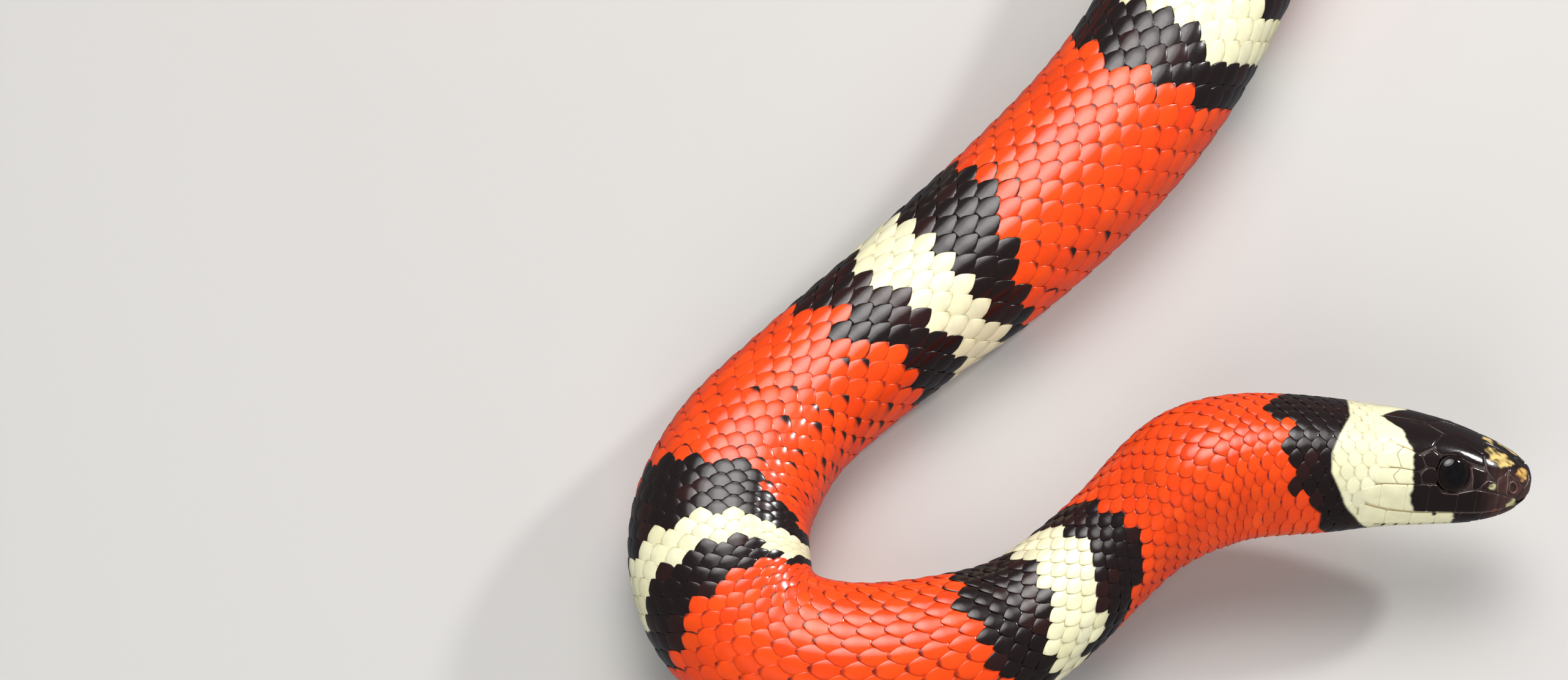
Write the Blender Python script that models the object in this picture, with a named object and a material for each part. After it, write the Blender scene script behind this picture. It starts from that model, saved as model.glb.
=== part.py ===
"""Milk snake at life size, lying in loose coils with its head and neck held just off the ground.

The body is a loft along one path of bends, from the snout tailwards, parted by thin cuts into
head, lower jaw, neck, body lengths and tail. Working lengths are in millimetres, meshes in metres.
"""

import math

import bmesh
import bpy
import numpy as np

MM = 0.001

# Path of the middle line, from the snout tailwards: (length, turn in degrees, left is positive).
HEADING = 176.5
FRONT_BENDS = (
    (24, 0.0), (14, 1.7), (16, 40.5), (16, 3.4), (14, -20.0), (14, -15.1), (12, -18.5),
    (14, -58.0), (16, -40.7), (20, -24.6), (26, -4.9), (30, 8.3), (34, 16.2),
)
REAR_BENDS = (
    (58, 10), (142, 170), (14, 0), (190, -232), (50, 12), (90, -22), (60, -20), (131, -80),
)
BEND_BLEND = 14.0
LIFT_BLEND = 18.0
STEP = 0.5

# Head and neck sections: (distance from the snout, half width, height above, depth below the middle line).
HEAD_SECTIONS = (
    (0.0, 0.0, 0.0, 0.0), (0.5, 2.2, 1.3, 2.0), (1.5, 3.4, 2.1, 3.1), (3.0, 4.35, 3.15, 4.25),
    (5.0, 5.25, 4.2, 5.15), (8.0, 6.15, 5.5, 5.9), (11.4, 6.85, 6.7, 6.2), (15.0, 7.65, 7.6, 6.35),
    (19.0, 8.4, 8.2, 6.55), (23.0, 8.85, 8.5, 7.2), (28.0, 9.3, 9.1, 8.4), (34.0, 9.6, 9.6, 9.3),
    (46.0, 10.0, 10.0, 9.7), (60.0, 8.5, 8.05, 7.8),
)
# Body sections: (distance from the snout, half width).
BODY_WIDTHS = (
    (72, 9.05), (90, 10.6), (110, 11.2), (130, 12.85), (145, 12.2), (160, 11.15), (175, 11.4),
    (195, 12.45), (215, 13.0), (245, 13.2), (320, 13.6), (480, 13.8), (650, 13.4), (780, 12.0),
    (845, 10.0), (868, 7.8), (930, 4.6), (975, 1.6), (985, 0.5),
)
BODY_HEIGHT = 0.945
BODY_DEPTH = 0.92
ROUND_ABOVE = 2.3
ROUND_BELOW = 2.5
BELLY_CUT = 0.5
BELLY_CUT_SHARE = 0.06

# Height of the middle line where the head and neck are held up, and how far they lean.
LIFT = ((0, 18.5), (10, 18.6), (30, 19.0), (44, 18.2), (54, 15.2), (66, 11.2))
LIFT_END = 80.0
LEAN = 31.0
LEAN_FROM = 26.0
LEAN_LENGTH = 50.0

# Nodes along the body: where each length ends.
HEAD_END = 25.0
NECK_END = 62.0
BODY_ENDS = (104, 150, 215, 290, 360, 430, 500, 570, 640, 735, 845)
TAIL_MIDDLE = 915.0
GAP = 0.3

RING_SPACING = 6.0
TIGHT_SPACING = 4.0
TIGHT_FROM = 100.0
TIGHT_TO = 152.0
BODY_SIDES = 20
HEAD_SIDES = 32

# Line of the mouth: (distance from the snout, height from the middle line).
MOUTH = (
    (-3.0, -1.15), (0.5, -1.3), (2.0, -1.9), (4.0, -2.35), (7.0, -2.55), (10.5, -2.3), (14.5, -2.0),
    (18.5, -1.6), (21.5, -1.1), (24.0, -0.1), (28.0, 1.0),
)

# Eye: a flattened ball set in its seat on the side of the head.
EYE_AT = 11.8
EYE_ANGLE = 61.0
EYE_RADIUS = 2.45
EYE_THICK = 1.35
EYE_SUNK = 0.7
NOSTRIL_AT = 3.1
NOSTRIL_ANGLE = 77.0
NOSTRIL_RADIUS = 0.42

# Head shields, raised a little from the skin with a seam left between them.
SHIELD_RAISE = 0.22
SHIELD_ROOT = 0.7
SEAM = 0.14

# Corners of the shields of the right side: (distance from the snout, degrees round from the top).
PAIRED_SHIELDS = {
    "internasal": ((1.2, 2), (2.6, 2), (3.5, 24), (4.0, 42), (3.0, 56), (1.3, 68), (0.9, 35)),
    "prefrontal": ((2.6, 2), (7.3, 2), (7.6, 27), (7.0, 50), (6.0, 63), (5.0, 57), (4.0, 42), (3.5, 24)),
    "supraocular": (
        (7.6, 27), (10.5, 18), (13.5, 12), (15.0, 33),
        (13.9, 40), (12.0, 36), (9.6, 43), (7.4, 44),
    ),
    "parietal": ((13.6, 11), (15.9, 2), (22.6, 2), (22.2, 17), (19.6, 32), (17.0, 41), (15.1, 33)),
    "preocular": ((9.3, 48), (7.0, 52), (7.0, 63), (8.0, 77), (9.0, 80), (9.0, 64)),
    "loreal": ((6.9, 65), (5.6, 67), (5.5, 84), (6.6, 83), (7.9, 77)),
    "postnasal": ((5.4, 60), (4.2, 47), (4.1, 68), (4.2, 90), (5.3, 85)),
    "prenasal": ((4.0, 46), (3.0, 59), (1.4, 73), (1.9, 92), (2.6, 99), (4.0, 90), (3.9, 68)),
    "postocular_upper": ((14.0, 41), (15.1, 35), (16.6, 43), (15.9, 56), (14.4, 56)),
    "postocular_lower": ((14.5, 57), (15.9, 57), (16.7, 66), (16.2, 73), (14.2, 73)),
    "temporal_upper": ((16.7, 44), (19.8, 34), (21.6, 44), (20.6, 57), (17.0, 60), (16.0, 56)),
    "temporal_lower": ((16.8, 62), (20.4, 58), (21.8, 66), (19.4, 73), (16.4, 73)),
}
RIM_ANGLES = (0, 24, 50, 73, 90, 104)
RIM_BACKS = (1.25, 0.85, 0.75, 1.0, 1.6, 2.1)
UPPER_LIP_SEAMS = (2.4, 5.3, 8.3, 11.0, 15.2, 18.4, 22.0, 24.7)
UPPER_LIP_TOPS = (
    (2.4, 101), (4.0, 92), (5.3, 87), (8.4, 80), (9.4, 82),
    (11.6, 86), (13.4, 84), (14.2, 75), (22.0, 75), (24.7, 80),
)
LOWER_LIP_SEAMS = (2.2, 4.6, 7.2, 10.2, 13.6, 17.2, 20.8, 24.7)
LOWER_LIP_DEPTH = 19.0
CHIN_SHIELDS = (
    ((2.8, 178), (8.0, 178), (8.6, 160), (5.2, 150), (3.0, 160)),
    ((8.4, 178), (13.4, 172), (13.0, 158), (9.0, 158)),
)

BLACK = (0.018, 0.013, 0.012, 1.0)
EYE_BLACK = (0.004, 0.004, 0.004, 1.0)
RED = (0.72, 0.055, 0.012, 1.0)
CREAM = (0.82, 0.78, 0.52, 1.0)


def clear_scene():
    for obj in list(bpy.data.objects):
        bpy.data.objects.remove(obj, do_unlink=True)


def smooth(t):
    t = np.clip(t, 0.0, 1.0)
    return t * t * (3.0 - 2.0 * t)


def through(stations, at):
    """Smooth value through (place, value) stations, with no overshoot."""
    x = np.array([a for a, _ in stations], float)
    y = np.array([b for _, b in stations], float)
    rise = np.diff(y) / np.diff(x)
    slope = np.zeros(len(x))
    for i in range(1, len(x) - 1):
        if rise[i - 1] * rise[i] > 0:
            first = 2 * (x[i + 1] - x[i]) + (x[i] - x[i - 1])
            second = (x[i + 1] - x[i]) + 2 * (x[i] - x[i - 1])
            slope[i] = (first + second) / (first / rise[i - 1] + second / rise[i])
    slope[0] = rise[0]
    slope[-1] = rise[-1]
    at = np.clip(np.asarray(at, float), x[0], x[-1])
    i = np.clip(np.searchsorted(x, at, side="right") - 1, 0, len(x) - 2)
    h = x[i + 1] - x[i]
    t = (at - x[i]) / h
    start = y[i] * (1 + 2 * t) * (1 - t) ** 2 + h * slope[i] * t * (1 - t) ** 2
    end = y[i + 1] * t * t * (3 - 2 * t) + h * slope[i + 1] * t * t * (t - 1)
    return start + end


HALF_WIDTH = tuple((a, w) for a, w, _, _ in HEAD_SECTIONS) + BODY_WIDTHS
HEIGHT = tuple((a, h) for a, _, h, _ in HEAD_SECTIONS) + tuple((a, w * BODY_HEIGHT) for a, w in BODY_WIDTHS)
DEPTH = tuple((a, d) for a, _, _, d in HEAD_SECTIONS) + tuple((a, w * BODY_DEPTH) for a, w in BODY_WIDTHS)


def blended(values, length):
    """Values along the middle line, averaged over a length."""
    wide = int(round(length / STEP)) | 1
    window = np.hanning(wide + 2)[1:-1]
    padded = np.pad(values, wide // 2, mode="edge")
    return np.convolve(padded, window / window.sum(), mode="valid")


def middle_line():
    """Places along the path, points on it and its directions, in small equal steps."""
    bends = FRONT_BENDS + REAR_BENDS
    count = int(round(sum(length for length, _ in bends) / STEP))
    middles = (np.arange(count) + 0.5) * STEP
    turning = np.zeros(count)
    start = 0.0
    for length, turn in bends:
        inside = (middles >= start) & (middles < start + length)
        turning[inside] = math.radians(turn) / length
        start += length
    turning = blended(turning, BEND_BLEND)
    heading = math.radians(HEADING) + np.concatenate([[0.0], np.cumsum(turning) * STEP])
    between = (heading[:-1] + heading[1:]) / 2
    steps = np.column_stack([np.cos(between), np.sin(between)]) * STEP
    plan = np.concatenate([[[0.0, 0.0]], np.cumsum(steps, axis=0)])
    places = np.arange(count + 1) * STEP
    depth = through(DEPTH, places)
    height = depth - np.minimum(BELLY_CUT, BELLY_CUT_SHARE * depth)
    lying = float(np.interp(LIFT_END, places, height))
    raised = places < LIFT_END
    height[raised] = through(LIFT + ((LIFT_END, lying),), places[raised])
    settled = smooth((places - LIFT_END + 18) / 9) * (1 - smooth((places - LIFT_END - 18) / 9))
    height = height + (blended(height, LIFT_BLEND) - height) * settled
    points = np.column_stack([plan, height])
    back = np.gradient(points, places, axis=0)
    back /= np.linalg.norm(back, axis=1)[:, None]
    side = np.cross(back, (0.0, 0.0, 1.0))
    side /= np.linalg.norm(side, axis=1)[:, None]
    up = np.cross(side, back)
    lean = math.radians(LEAN) * (1 - smooth((places - LEAN_FROM) / LEAN_LENGTH))
    cosine = np.cos(lean)[:, None]
    sine = np.sin(lean)[:, None]
    return places, points, side * cosine - up * sine, up * cosine + side * sine


PLACES, POINTS, SIDES, UPS = middle_line()


def at_place(rows, place):
    """Rows of the middle line read between its steps."""
    return np.stack([np.interp(place, PLACES, rows[:, k]) for k in range(3)], axis=-1)


def skin(place, degrees):
    """Points on the skin. Angles run from the top, positive towards the animal's left side."""
    place = np.asarray(place, float)
    angle = np.radians(np.asarray(degrees, float))
    below = np.cos(angle) < 0
    power = 2 / np.where(below, ROUND_BELOW, ROUND_ABOVE)
    across = np.sign(np.sin(angle)) * np.abs(np.sin(angle)) ** power
    upward = np.sign(np.cos(angle)) * np.abs(np.cos(angle)) ** power
    across = across * through(HALF_WIDTH, place)
    upward = upward * np.where(below, through(DEPTH, place), through(HEIGHT, place))
    points = at_place(POINTS, place)
    points = points + at_place(SIDES, place) * across[..., None] + at_place(UPS, place) * upward[..., None]
    points[..., 2] = np.maximum(points[..., 2], 0.0)
    return points


def skin_normal(place, degrees):
    """Outward direction of the skin."""
    place = np.asarray(place, float)
    degrees = np.asarray(degrees, float)
    along = skin(place + 0.15, degrees) - skin(np.maximum(place - 0.15, 0.0), degrees)
    around = skin(place, degrees + 2) - skin(place, degrees - 2)
    normal = np.cross(around, along)
    normal /= np.maximum(np.linalg.norm(normal, axis=-1), 1e-9)[..., None]
    outward = skin(place, degrees) - at_place(POINTS, place)
    return normal * np.where((normal * outward).sum(axis=-1) < 0, -1.0, 1.0)[..., None]


def centre_of_plan():
    """Middle of the whole animal seen from above."""
    angles = np.arange(0, 360, 6.0)
    places = np.arange(0.5, PLACES[-1], 1.0)
    points = skin(places[:, None], angles[None, :] + 0 * places[:, None])[..., :2].reshape(-1, 2)
    return (points.min(axis=0) + points.max(axis=0)) / 2


ORIGIN = np.append(centre_of_plan(), 0.0)


def in_metres(points):
    return (np.asarray(points, float) - ORIGIN) * MM


def new_object(name, bm, colour, roughness):
    bmesh.ops.recalc_face_normals(bm, faces=bm.faces)
    mesh = bpy.data.meshes.new(name)
    bm.to_mesh(mesh)
    bm.free()
    obj = bpy.data.objects.new(name, mesh)
    bpy.context.scene.collection.objects.link(obj)
    if colour is not None:
        material = bpy.data.materials.new(name)
        material.use_nodes = True
        surface = material.node_tree.nodes["Principled BSDF"]
        surface.inputs["Base Color"].default_value = colour
        surface.inputs["Roughness"].default_value = roughness
        surface.inputs["Metallic"].default_value = 0.0
        material.diffuse_color = colour
        mesh.materials.append(material)
    return obj


def finish(obj):
    obj.data.shade_smooth()
    obj.data.set_sharp_from_angle(angle=math.radians(35))


def loft(name, places, sides, colour, roughness=0.35, tip_first=False, tip_last=False):
    """One closed length of the body through rings at the given places."""
    bm = bmesh.new()
    angles = np.arange(sides) * 360.0 / sides
    rings = []
    for place in places:
        points = in_metres(skin(np.full(sides, place), angles))
        rings.append([bm.verts.new(point) for point in points])
    for first, second in zip(rings[:-1], rings[1:]):
        for i in range(sides):
            j = (i + 1) % sides
            bm.faces.new((first[i], first[j], second[j], second[i]))
    for ring, pointed, place in ((rings[0], tip_first, places[0]), (rings[-1], tip_last, places[-1])):
        if pointed:
            end = 0.0 if tip_first else PLACES[-1]
            tip = bm.verts.new(in_metres(at_place(POINTS, end)))
            for i in range(sides):
                bm.faces.new((ring[i], ring[(i + 1) % sides], tip))
        else:
            bm.faces.new(ring)
    bmesh.ops.triangulate(bm, faces=bm.faces)
    obj = new_object(name, bm, colour, roughness)
    return obj


def ring_places(start, end):
    """Places of the rings between two cuts, closer together in the tight bend."""
    places = [start]
    while places[-1] < end - 1e-6:
        tight = TIGHT_FROM < places[-1] < TIGHT_TO
        spacing = TIGHT_SPACING if tight else RING_SPACING
        places.append(places[-1] + spacing)
    places[-1] = end
    if len(places) > 2 and places[-1] - places[-2] < 2.0:
        places.pop(-2)
    return places


def apply_boolean(obj, operation, other=None, collection=None):
    modifier = obj.modifiers.new(operation.lower(), "BOOLEAN")
    modifier.operation = operation
    modifier.solver = "EXACT"
    if collection is not None:
        modifier.operand_type = "COLLECTION"
        modifier.collection = collection
    else:
        modifier.object = other
    bpy.context.view_layer.update()
    graph = bpy.context.evaluated_depsgraph_get()
    mesh = bpy.data.meshes.new_from_object(obj.evaluated_get(graph))
    obj.modifiers.clear()
    old = obj.data
    obj.data = mesh
    bpy.data.meshes.remove(old)
    used = list(collection.objects) if collection is not None else [other]
    for piece in used:
        bpy.data.objects.remove(piece, do_unlink=True)


def keep_largest(obj):
    """Drops every closed surface but the largest."""
    bm = bmesh.new()
    bm.from_mesh(obj.data)
    left = set(bm.verts)
    shells = []
    while left:
        shell = {left.pop()}
        edge = list(shell)
        while edge:
            vert = edge.pop()
            for link in vert.link_edges:
                other = link.other_vert(vert)
                if other in left:
                    left.discard(other)
                    shell.add(other)
                    edge.append(other)
        shells.append(shell)
    shells.sort(key=len)
    for shell in shells[:-1]:
        bmesh.ops.delete(bm, geom=list(shell), context="VERTS")
    bmesh.ops.triangulate(bm, faces=bm.faces)
    bm.to_mesh(obj.data)
    bm.free()


def raised(bm, raise_by, root):
    """Makes a closed plate from a flat sheet whose points hold (place, degrees, 0)."""
    bmesh.ops.triangulate(bm, faces=bm.faces)
    grown = bmesh.ops.extrude_face_region(bm, geom=bm.faces[:])
    copies = [item for item in grown["geom"] if isinstance(item, bmesh.types.BMVert)]
    originals = [vert for vert in bm.verts if vert not in set(copies)]
    for verts, lift in ((copies, raise_by), (originals, -root)):
        where = np.array([vert.co[:] for vert in verts])
        points = skin(where[:, 0], where[:, 1]) + skin_normal(where[:, 0], where[:, 1]) * lift
        for vert, point in zip(verts, in_metres(points)):
            vert.co = point


def shield(name, corners, mirror, collection, root=SHIELD_ROOT):
    """One head shield: its outline drawn in by half a seam, divided so that it follows the skin."""
    points = np.array(corners, float)
    scale = float(through(HALF_WIDTH, [points[:, 0].mean()])[0]) * math.pi / 180
    flat = points * (1.0, scale)
    middle = flat.mean(axis=0)
    away = flat - middle
    length = np.linalg.norm(away, axis=1)[:, None]
    flat = middle + away * (1 - 1.3 * SEAM / length)
    points = flat / (1.0, scale)
    if mirror:
        points = points * (1.0, -1.0)
    bm = bmesh.new()
    bm.faces.new([bm.verts.new((place, angle, 0.0)) for place, angle in points])
    for axis, spacing in ((0, 2.4), (1, 15.0)):
        low, high = points[:, axis].min(), points[:, axis].max()
        count = int((high - low) / spacing)
        for k in range(1, count + 1):
            cut = low + (high - low) * k / (count + 1)
            where = (cut, 0, 0) if axis == 0 else (0, cut, 0)
            normal = (1, 0, 0) if axis == 0 else (0, 1, 0)
            everything = bm.verts[:] + bm.edges[:] + bm.faces[:]
            bmesh.ops.bisect_plane(bm, geom=everything, plane_co=where, plane_no=normal, dist=1e-4)
    raised(bm, SHIELD_RAISE, root)
    obj = new_object(name, bm, None, 0.3)
    bpy.context.scene.collection.objects.unlink(obj)
    collection.objects.link(obj)


def rostral(collection):
    """The shield at the tip of the snout, a fan of strips from the tip back to its rim."""
    bm = bmesh.new()
    angles = np.linspace(-RIM_ANGLES[-1], RIM_ANGLES[-1], 17)
    backs = np.interp(np.abs(angles), RIM_ANGLES, RIM_BACKS)
    rows = []
    for share in (0.12, 0.4, 0.7, 1.0):
        rows.append([bm.verts.new((share * back, angle, 0.0)) for back, angle in zip(backs, angles)])
    for first, second in zip(rows[:-1], rows[1:]):
        for i in range(len(angles) - 1):
            bm.faces.new((first[i], first[i + 1], second[i + 1], second[i]))
    raised(bm, 0.1, 0.45)
    obj = new_object("rostral", bm, None, 0.3)
    bpy.context.scene.collection.objects.unlink(obj)
    collection.objects.link(obj)


def mouth_angle(place):
    """Degrees round from the top at which the line of the mouth meets the skin."""
    share = -through(MOUTH, place) / through(DEPTH, place)
    above = np.clip(through(MOUTH, place) / through(HEIGHT, place), 0.0, 1.0)
    under = 90 + np.degrees(np.arcsin(np.clip(share, 0.0, 1.0) ** (ROUND_BELOW / 2)))
    over = np.degrees(np.arccos(above ** (ROUND_ABOVE / 2)))
    return np.where(share > 0, under, over)


def lip_outlines():
    """Outlines of the shields along both lips of one side."""
    upper = []
    for start, end in zip(UPPER_LIP_SEAMS[:-1], UPPER_LIP_SEAMS[1:]):
        tops = [(a, b) for a, b in UPPER_LIP_TOPS if start < a < end]
        places, angles = zip(*UPPER_LIP_TOPS)
        first = (start, float(np.interp(start, places, angles)))
        last = (end, float(np.interp(end, places, angles)))
        bottom = [(end, float(mouth_angle(end)) - 1.5), (start, float(mouth_angle(start)) - 1.5)]
        upper.append([first, *tops, last, *bottom])
    lower = []
    for start, end in zip(LOWER_LIP_SEAMS[:-1], LOWER_LIP_SEAMS[1:]):
        near = float(mouth_angle(start)) + 2.5
        far = float(mouth_angle(end)) + 2.5
        bottom = [(end, far + LOWER_LIP_DEPTH), (start, near + LOWER_LIP_DEPTH)]
        lower.append([(start, near), (end, far), *bottom])
    return upper, lower


def block_below_mouth(name, shift):
    """A block whose upper face follows the line of the mouth through the head."""
    front = [-2.0, 0.0, 1.0, 2.0, 3.0, 4.5, 6.5, 8.5]
    places = np.array(front + [10.5, 13.0, 15.5, 18.0, 20.0, 21.5, 23.0, 24.5, 27.0])
    inside = np.maximum(places, 0.0)
    middle = at_place(POINTS, inside)
    back = at_place(POINTS, [1.0]) - at_place(POINTS, [0.0])
    middle = middle + back * (places - inside)[:, None]
    side = at_place(SIDES, inside)
    up = at_place(UPS, inside)
    tops = middle + up * (through(MOUTH, places) + shift)[:, None]
    feet = middle - up * 16.0
    bm = bmesh.new()
    rows = []
    for corner in (tops - side * 13, tops + side * 13, feet + side * 13, feet - side * 13):
        rows.append([bm.verts.new(point) for point in in_metres(corner)])
    for first, second in zip(rows, rows[1:] + rows[:1]):
        for i in range(len(places) - 1):
            bm.faces.new((first[i], first[i + 1], second[i + 1], second[i]))
    bm.faces.new([row[0] for row in rows])
    bm.faces.new([row[-1] for row in rows])
    bmesh.ops.triangulate(bm, faces=bm.faces)
    obj = new_object(name, bm, None, 0.3)
    obj.hide_render = True
    obj.display_type = "WIRE"
    return obj


def ball(name, place, degrees, sunk, radius, thick, colour=None, roughness=0.1, segments=24, rings=12):
    """A flattened ball on the skin, its short axis along the skin's outward direction."""
    centre = skin([place], [degrees])[0]
    outward = skin_normal([place], [degrees])[0]
    along = at_place(SIDES, [place])[0]
    first = np.cross(outward, along)
    first /= np.linalg.norm(first)
    second = np.cross(outward, first)
    bm = bmesh.new()
    bmesh.ops.create_uvsphere(bm, u_segments=segments, v_segments=rings, radius=1.0)
    centre = centre - outward * sunk
    for vert in bm.verts:
        x, y, z = vert.co
        point = centre + first * (x * radius) + second * (y * radius) + outward * (z * thick)
        vert.co = in_metres(point)
    bmesh.ops.triangulate(bm, faces=bm.faces)
    obj = new_object(name, bm, colour, roughness)
    if colour is None:
        obj.hide_render = True
        obj.display_type = "WIRE"
    return obj


def build_head():
    places = [0.12, 0.5, 1.0, 1.6, 2.3, 3.1, 4.0, 5.0, 6.2, 7.5]
    places += [9.0, 10.5, 12.0, 13.5, 15.0, 17.0, 19.0, 21.0, 23.0, HEAD_END - GAP / 2]
    head = loft("head", places, HEAD_SIDES, BLACK, 0.3, tip_first=True)
    shields = bpy.data.collections.new("shields")
    bpy.context.scene.collection.children.link(shields)
    rostral(shields)
    for name, corners in PAIRED_SHIELDS.items():
        for mirror in (False, True):
            shield(name, corners, mirror, shields)
    frontal = ((7.4, -26), (7.4, 26), (10.4, 16.5), (13.4, 10.5), (15.8, 0), (13.4, -10.5), (10.4, -16.5))
    shield("frontal", frontal, False, shields)
    upper, lower = lip_outlines()
    for outline in upper + lower + list(CHIN_SHIELDS):
        for mirror in (False, True):
            shield("lip", outline, mirror, shields)
    apply_boolean(head, "UNION", collection=shields)
    bpy.data.collections.remove(shields)
    keep_largest(head)
    jaw_mesh = head.data.copy()
    jaw = bpy.data.objects.new("lower_jaw", jaw_mesh)
    bpy.context.scene.collection.objects.link(jaw)
    apply_boolean(head, "DIFFERENCE", block_below_mouth("above_cut", GAP / 2))
    apply_boolean(jaw, "INTERSECT", block_below_mouth("below_cut", -GAP / 2))
    for side, degrees in (("left", EYE_ANGLE), ("right", -EYE_ANGLE)):
        seat = ball("seat", EYE_AT, degrees, EYE_SUNK, EYE_RADIUS + GAP, EYE_THICK + GAP)
        apply_boolean(head, "DIFFERENCE", seat)
        turned = math.copysign(NOSTRIL_ANGLE, degrees)
        nostril = ball("nostril", NOSTRIL_AT, turned, 0.1, NOSTRIL_RADIUS, 1.0, segments=10, rings=6)
        apply_boolean(head, "DIFFERENCE", nostril)
        name = "eye_" + side
        eye = ball(name, EYE_AT, degrees, EYE_SUNK, EYE_RADIUS, EYE_THICK, EYE_BLACK, 0.05)
        finish(eye)
    material = bpy.data.materials.new("lower_jaw")
    material.use_nodes = True
    surface = material.node_tree.nodes["Principled BSDF"]
    surface.inputs["Base Color"].default_value = CREAM
    surface.inputs["Roughness"].default_value = 0.3
    surface.inputs["Metallic"].default_value = 0.0
    jaw.data.materials.clear()
    jaw.data.materials.append(material)
    for obj in (head, jaw):
        keep_largest(obj)
        finish(obj)


def build_body():
    neck = loft("neck", ring_places(HEAD_END + GAP / 2, NECK_END - GAP / 2), 24, BLACK)
    finish(neck)
    start = NECK_END
    for number, end in enumerate(BODY_ENDS, 1):
        places = ring_places(start + GAP / 2, end - GAP / 2)
        finish(loft("body_%02d" % number, places, BODY_SIDES, RED))
        start = end
    finish(loft("tail", ring_places(start + GAP / 2, TAIL_MIDDLE - GAP / 2), 16, RED))
    last = ring_places(TAIL_MIDDLE + GAP / 2, PLACES[-1] - 0.6)
    finish(loft("tail_tip", last, 12, BLACK, tip_last=True))


clear_scene()
build_head()
build_body()
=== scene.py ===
import math

import bpy
import numpy as np
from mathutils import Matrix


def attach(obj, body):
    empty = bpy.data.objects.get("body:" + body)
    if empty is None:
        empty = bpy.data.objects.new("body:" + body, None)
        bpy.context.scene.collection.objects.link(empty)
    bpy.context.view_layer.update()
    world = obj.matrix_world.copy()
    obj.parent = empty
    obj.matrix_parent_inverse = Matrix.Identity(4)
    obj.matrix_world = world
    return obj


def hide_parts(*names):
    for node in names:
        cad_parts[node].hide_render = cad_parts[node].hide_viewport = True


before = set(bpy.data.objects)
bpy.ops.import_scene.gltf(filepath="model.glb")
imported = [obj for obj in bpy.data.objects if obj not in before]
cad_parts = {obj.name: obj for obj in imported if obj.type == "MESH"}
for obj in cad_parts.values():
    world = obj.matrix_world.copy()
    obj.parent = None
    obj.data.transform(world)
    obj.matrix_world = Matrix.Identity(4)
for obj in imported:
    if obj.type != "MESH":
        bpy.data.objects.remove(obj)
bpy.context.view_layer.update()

# Working lengths are in millimetres, along and around the same middle line as the solids; meshes in metres.
MM = 0.001

# Path of the middle line, from the snout tailwards: (length, turn in degrees, left is positive).
HEADING = 176.5
FRONT_BENDS = (
    (24, 0.0), (14, 1.7), (16, 40.5), (16, 3.4), (14, -20.0), (14, -15.1), (12, -18.5),
    (14, -58.0), (16, -40.7), (20, -24.6), (26, -4.9), (30, 8.3), (34, 16.2),
)
REAR_BENDS = (
    (58, 10), (142, 170), (14, 0), (190, -232), (50, 12), (90, -22), (60, -20), (131, -80),
)
BEND_BLEND = 14.0
LIFT_BLEND = 18.0
# Reach and blend, each way from the end of the lift, over which the height of the middle line is averaged.
SETTLE_REACH = 18.0
SETTLE_BLEND = 9.0
STEP = 0.5

# Head and neck sections: (distance from the snout, half width, height and depth from the middle line).
HEAD_SECTIONS = (
    (0.0, 0.0, 0.0, 0.0), (0.5, 2.2, 1.3, 2.0), (1.5, 3.4, 2.1, 3.1), (3.0, 4.35, 3.15, 4.25),
    (5.0, 5.25, 4.2, 5.15), (8.0, 6.15, 5.5, 5.9), (11.4, 6.85, 6.7, 6.2), (15.0, 7.65, 7.6, 6.35),
    (19.0, 8.4, 8.2, 6.55), (23.0, 8.85, 8.5, 7.2), (28.0, 9.3, 9.1, 8.4), (34.0, 9.6, 9.6, 9.3),
    (46.0, 10.0, 10.0, 9.7), (60.0, 8.5, 8.05, 7.8),
)
# Body sections: (distance from the snout, half width).
BODY_WIDTHS = (
    (72, 9.05), (90, 10.6), (110, 11.2), (130, 12.85), (145, 12.2), (160, 11.15), (175, 11.4),
    (195, 12.45), (215, 13.0), (245, 13.2), (320, 13.6), (480, 13.8), (650, 13.4), (780, 12.0),
    (845, 10.0), (868, 7.8), (930, 4.6), (975, 1.6), (985, 0.5),
)
# Height and depth of the body against its half width, roundness above and below, and cut of the belly.
BODY_HEIGHT = 0.945
BODY_DEPTH = 0.92
ROUND_ABOVE = 2.3
ROUND_BELOW = 2.5
BELLY_CUT = 0.5
BELLY_CUT_SHARE = 0.06

# Height of the middle line where the head and neck are held up, and how far they lean.
LIFT = ((0, 18.5), (10, 18.6), (30, 19.0), (44, 18.2), (54, 15.2), (66, 11.2))
LIFT_END = 80.0
LEAN = 31.0
LEAN_FROM = 26.0
LEAN_LENGTH = 50.0

# Line of the mouth: (distance from the snout, height from the middle line).
MOUTH = (
    (-3.0, -1.15), (0.5, -1.3), (2.0, -1.9), (4.0, -2.35), (7.0, -2.55), (10.5, -2.3), (14.5, -2.0),
    (18.5, -1.6), (21.5, -1.1), (24.0, -0.1), (28.0, 1.0),
)

# Eye: a flattened ball on the side of the head, as wide as in the solids and standing out as far, but
# rounder behind. Shields keep a gap from it, and the skin leaves room behind it. Nostril: a low rim round a
# pit through the shields.
EYE_AT = 11.8
EYE_ANGLE = 61.0
EYE_RADIUS = 2.45
EYE_GAP = 0.04
EYE_ROOM = 1.6
BALL_RADIUS = 2.55
BALL_THICK = 1.52
BALL_SUNK = 0.72
NOSTRIL_AT = 3.1
NOSTRIL_ANGLE = 77.0
PIT_RADIUS = 0.72

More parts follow.
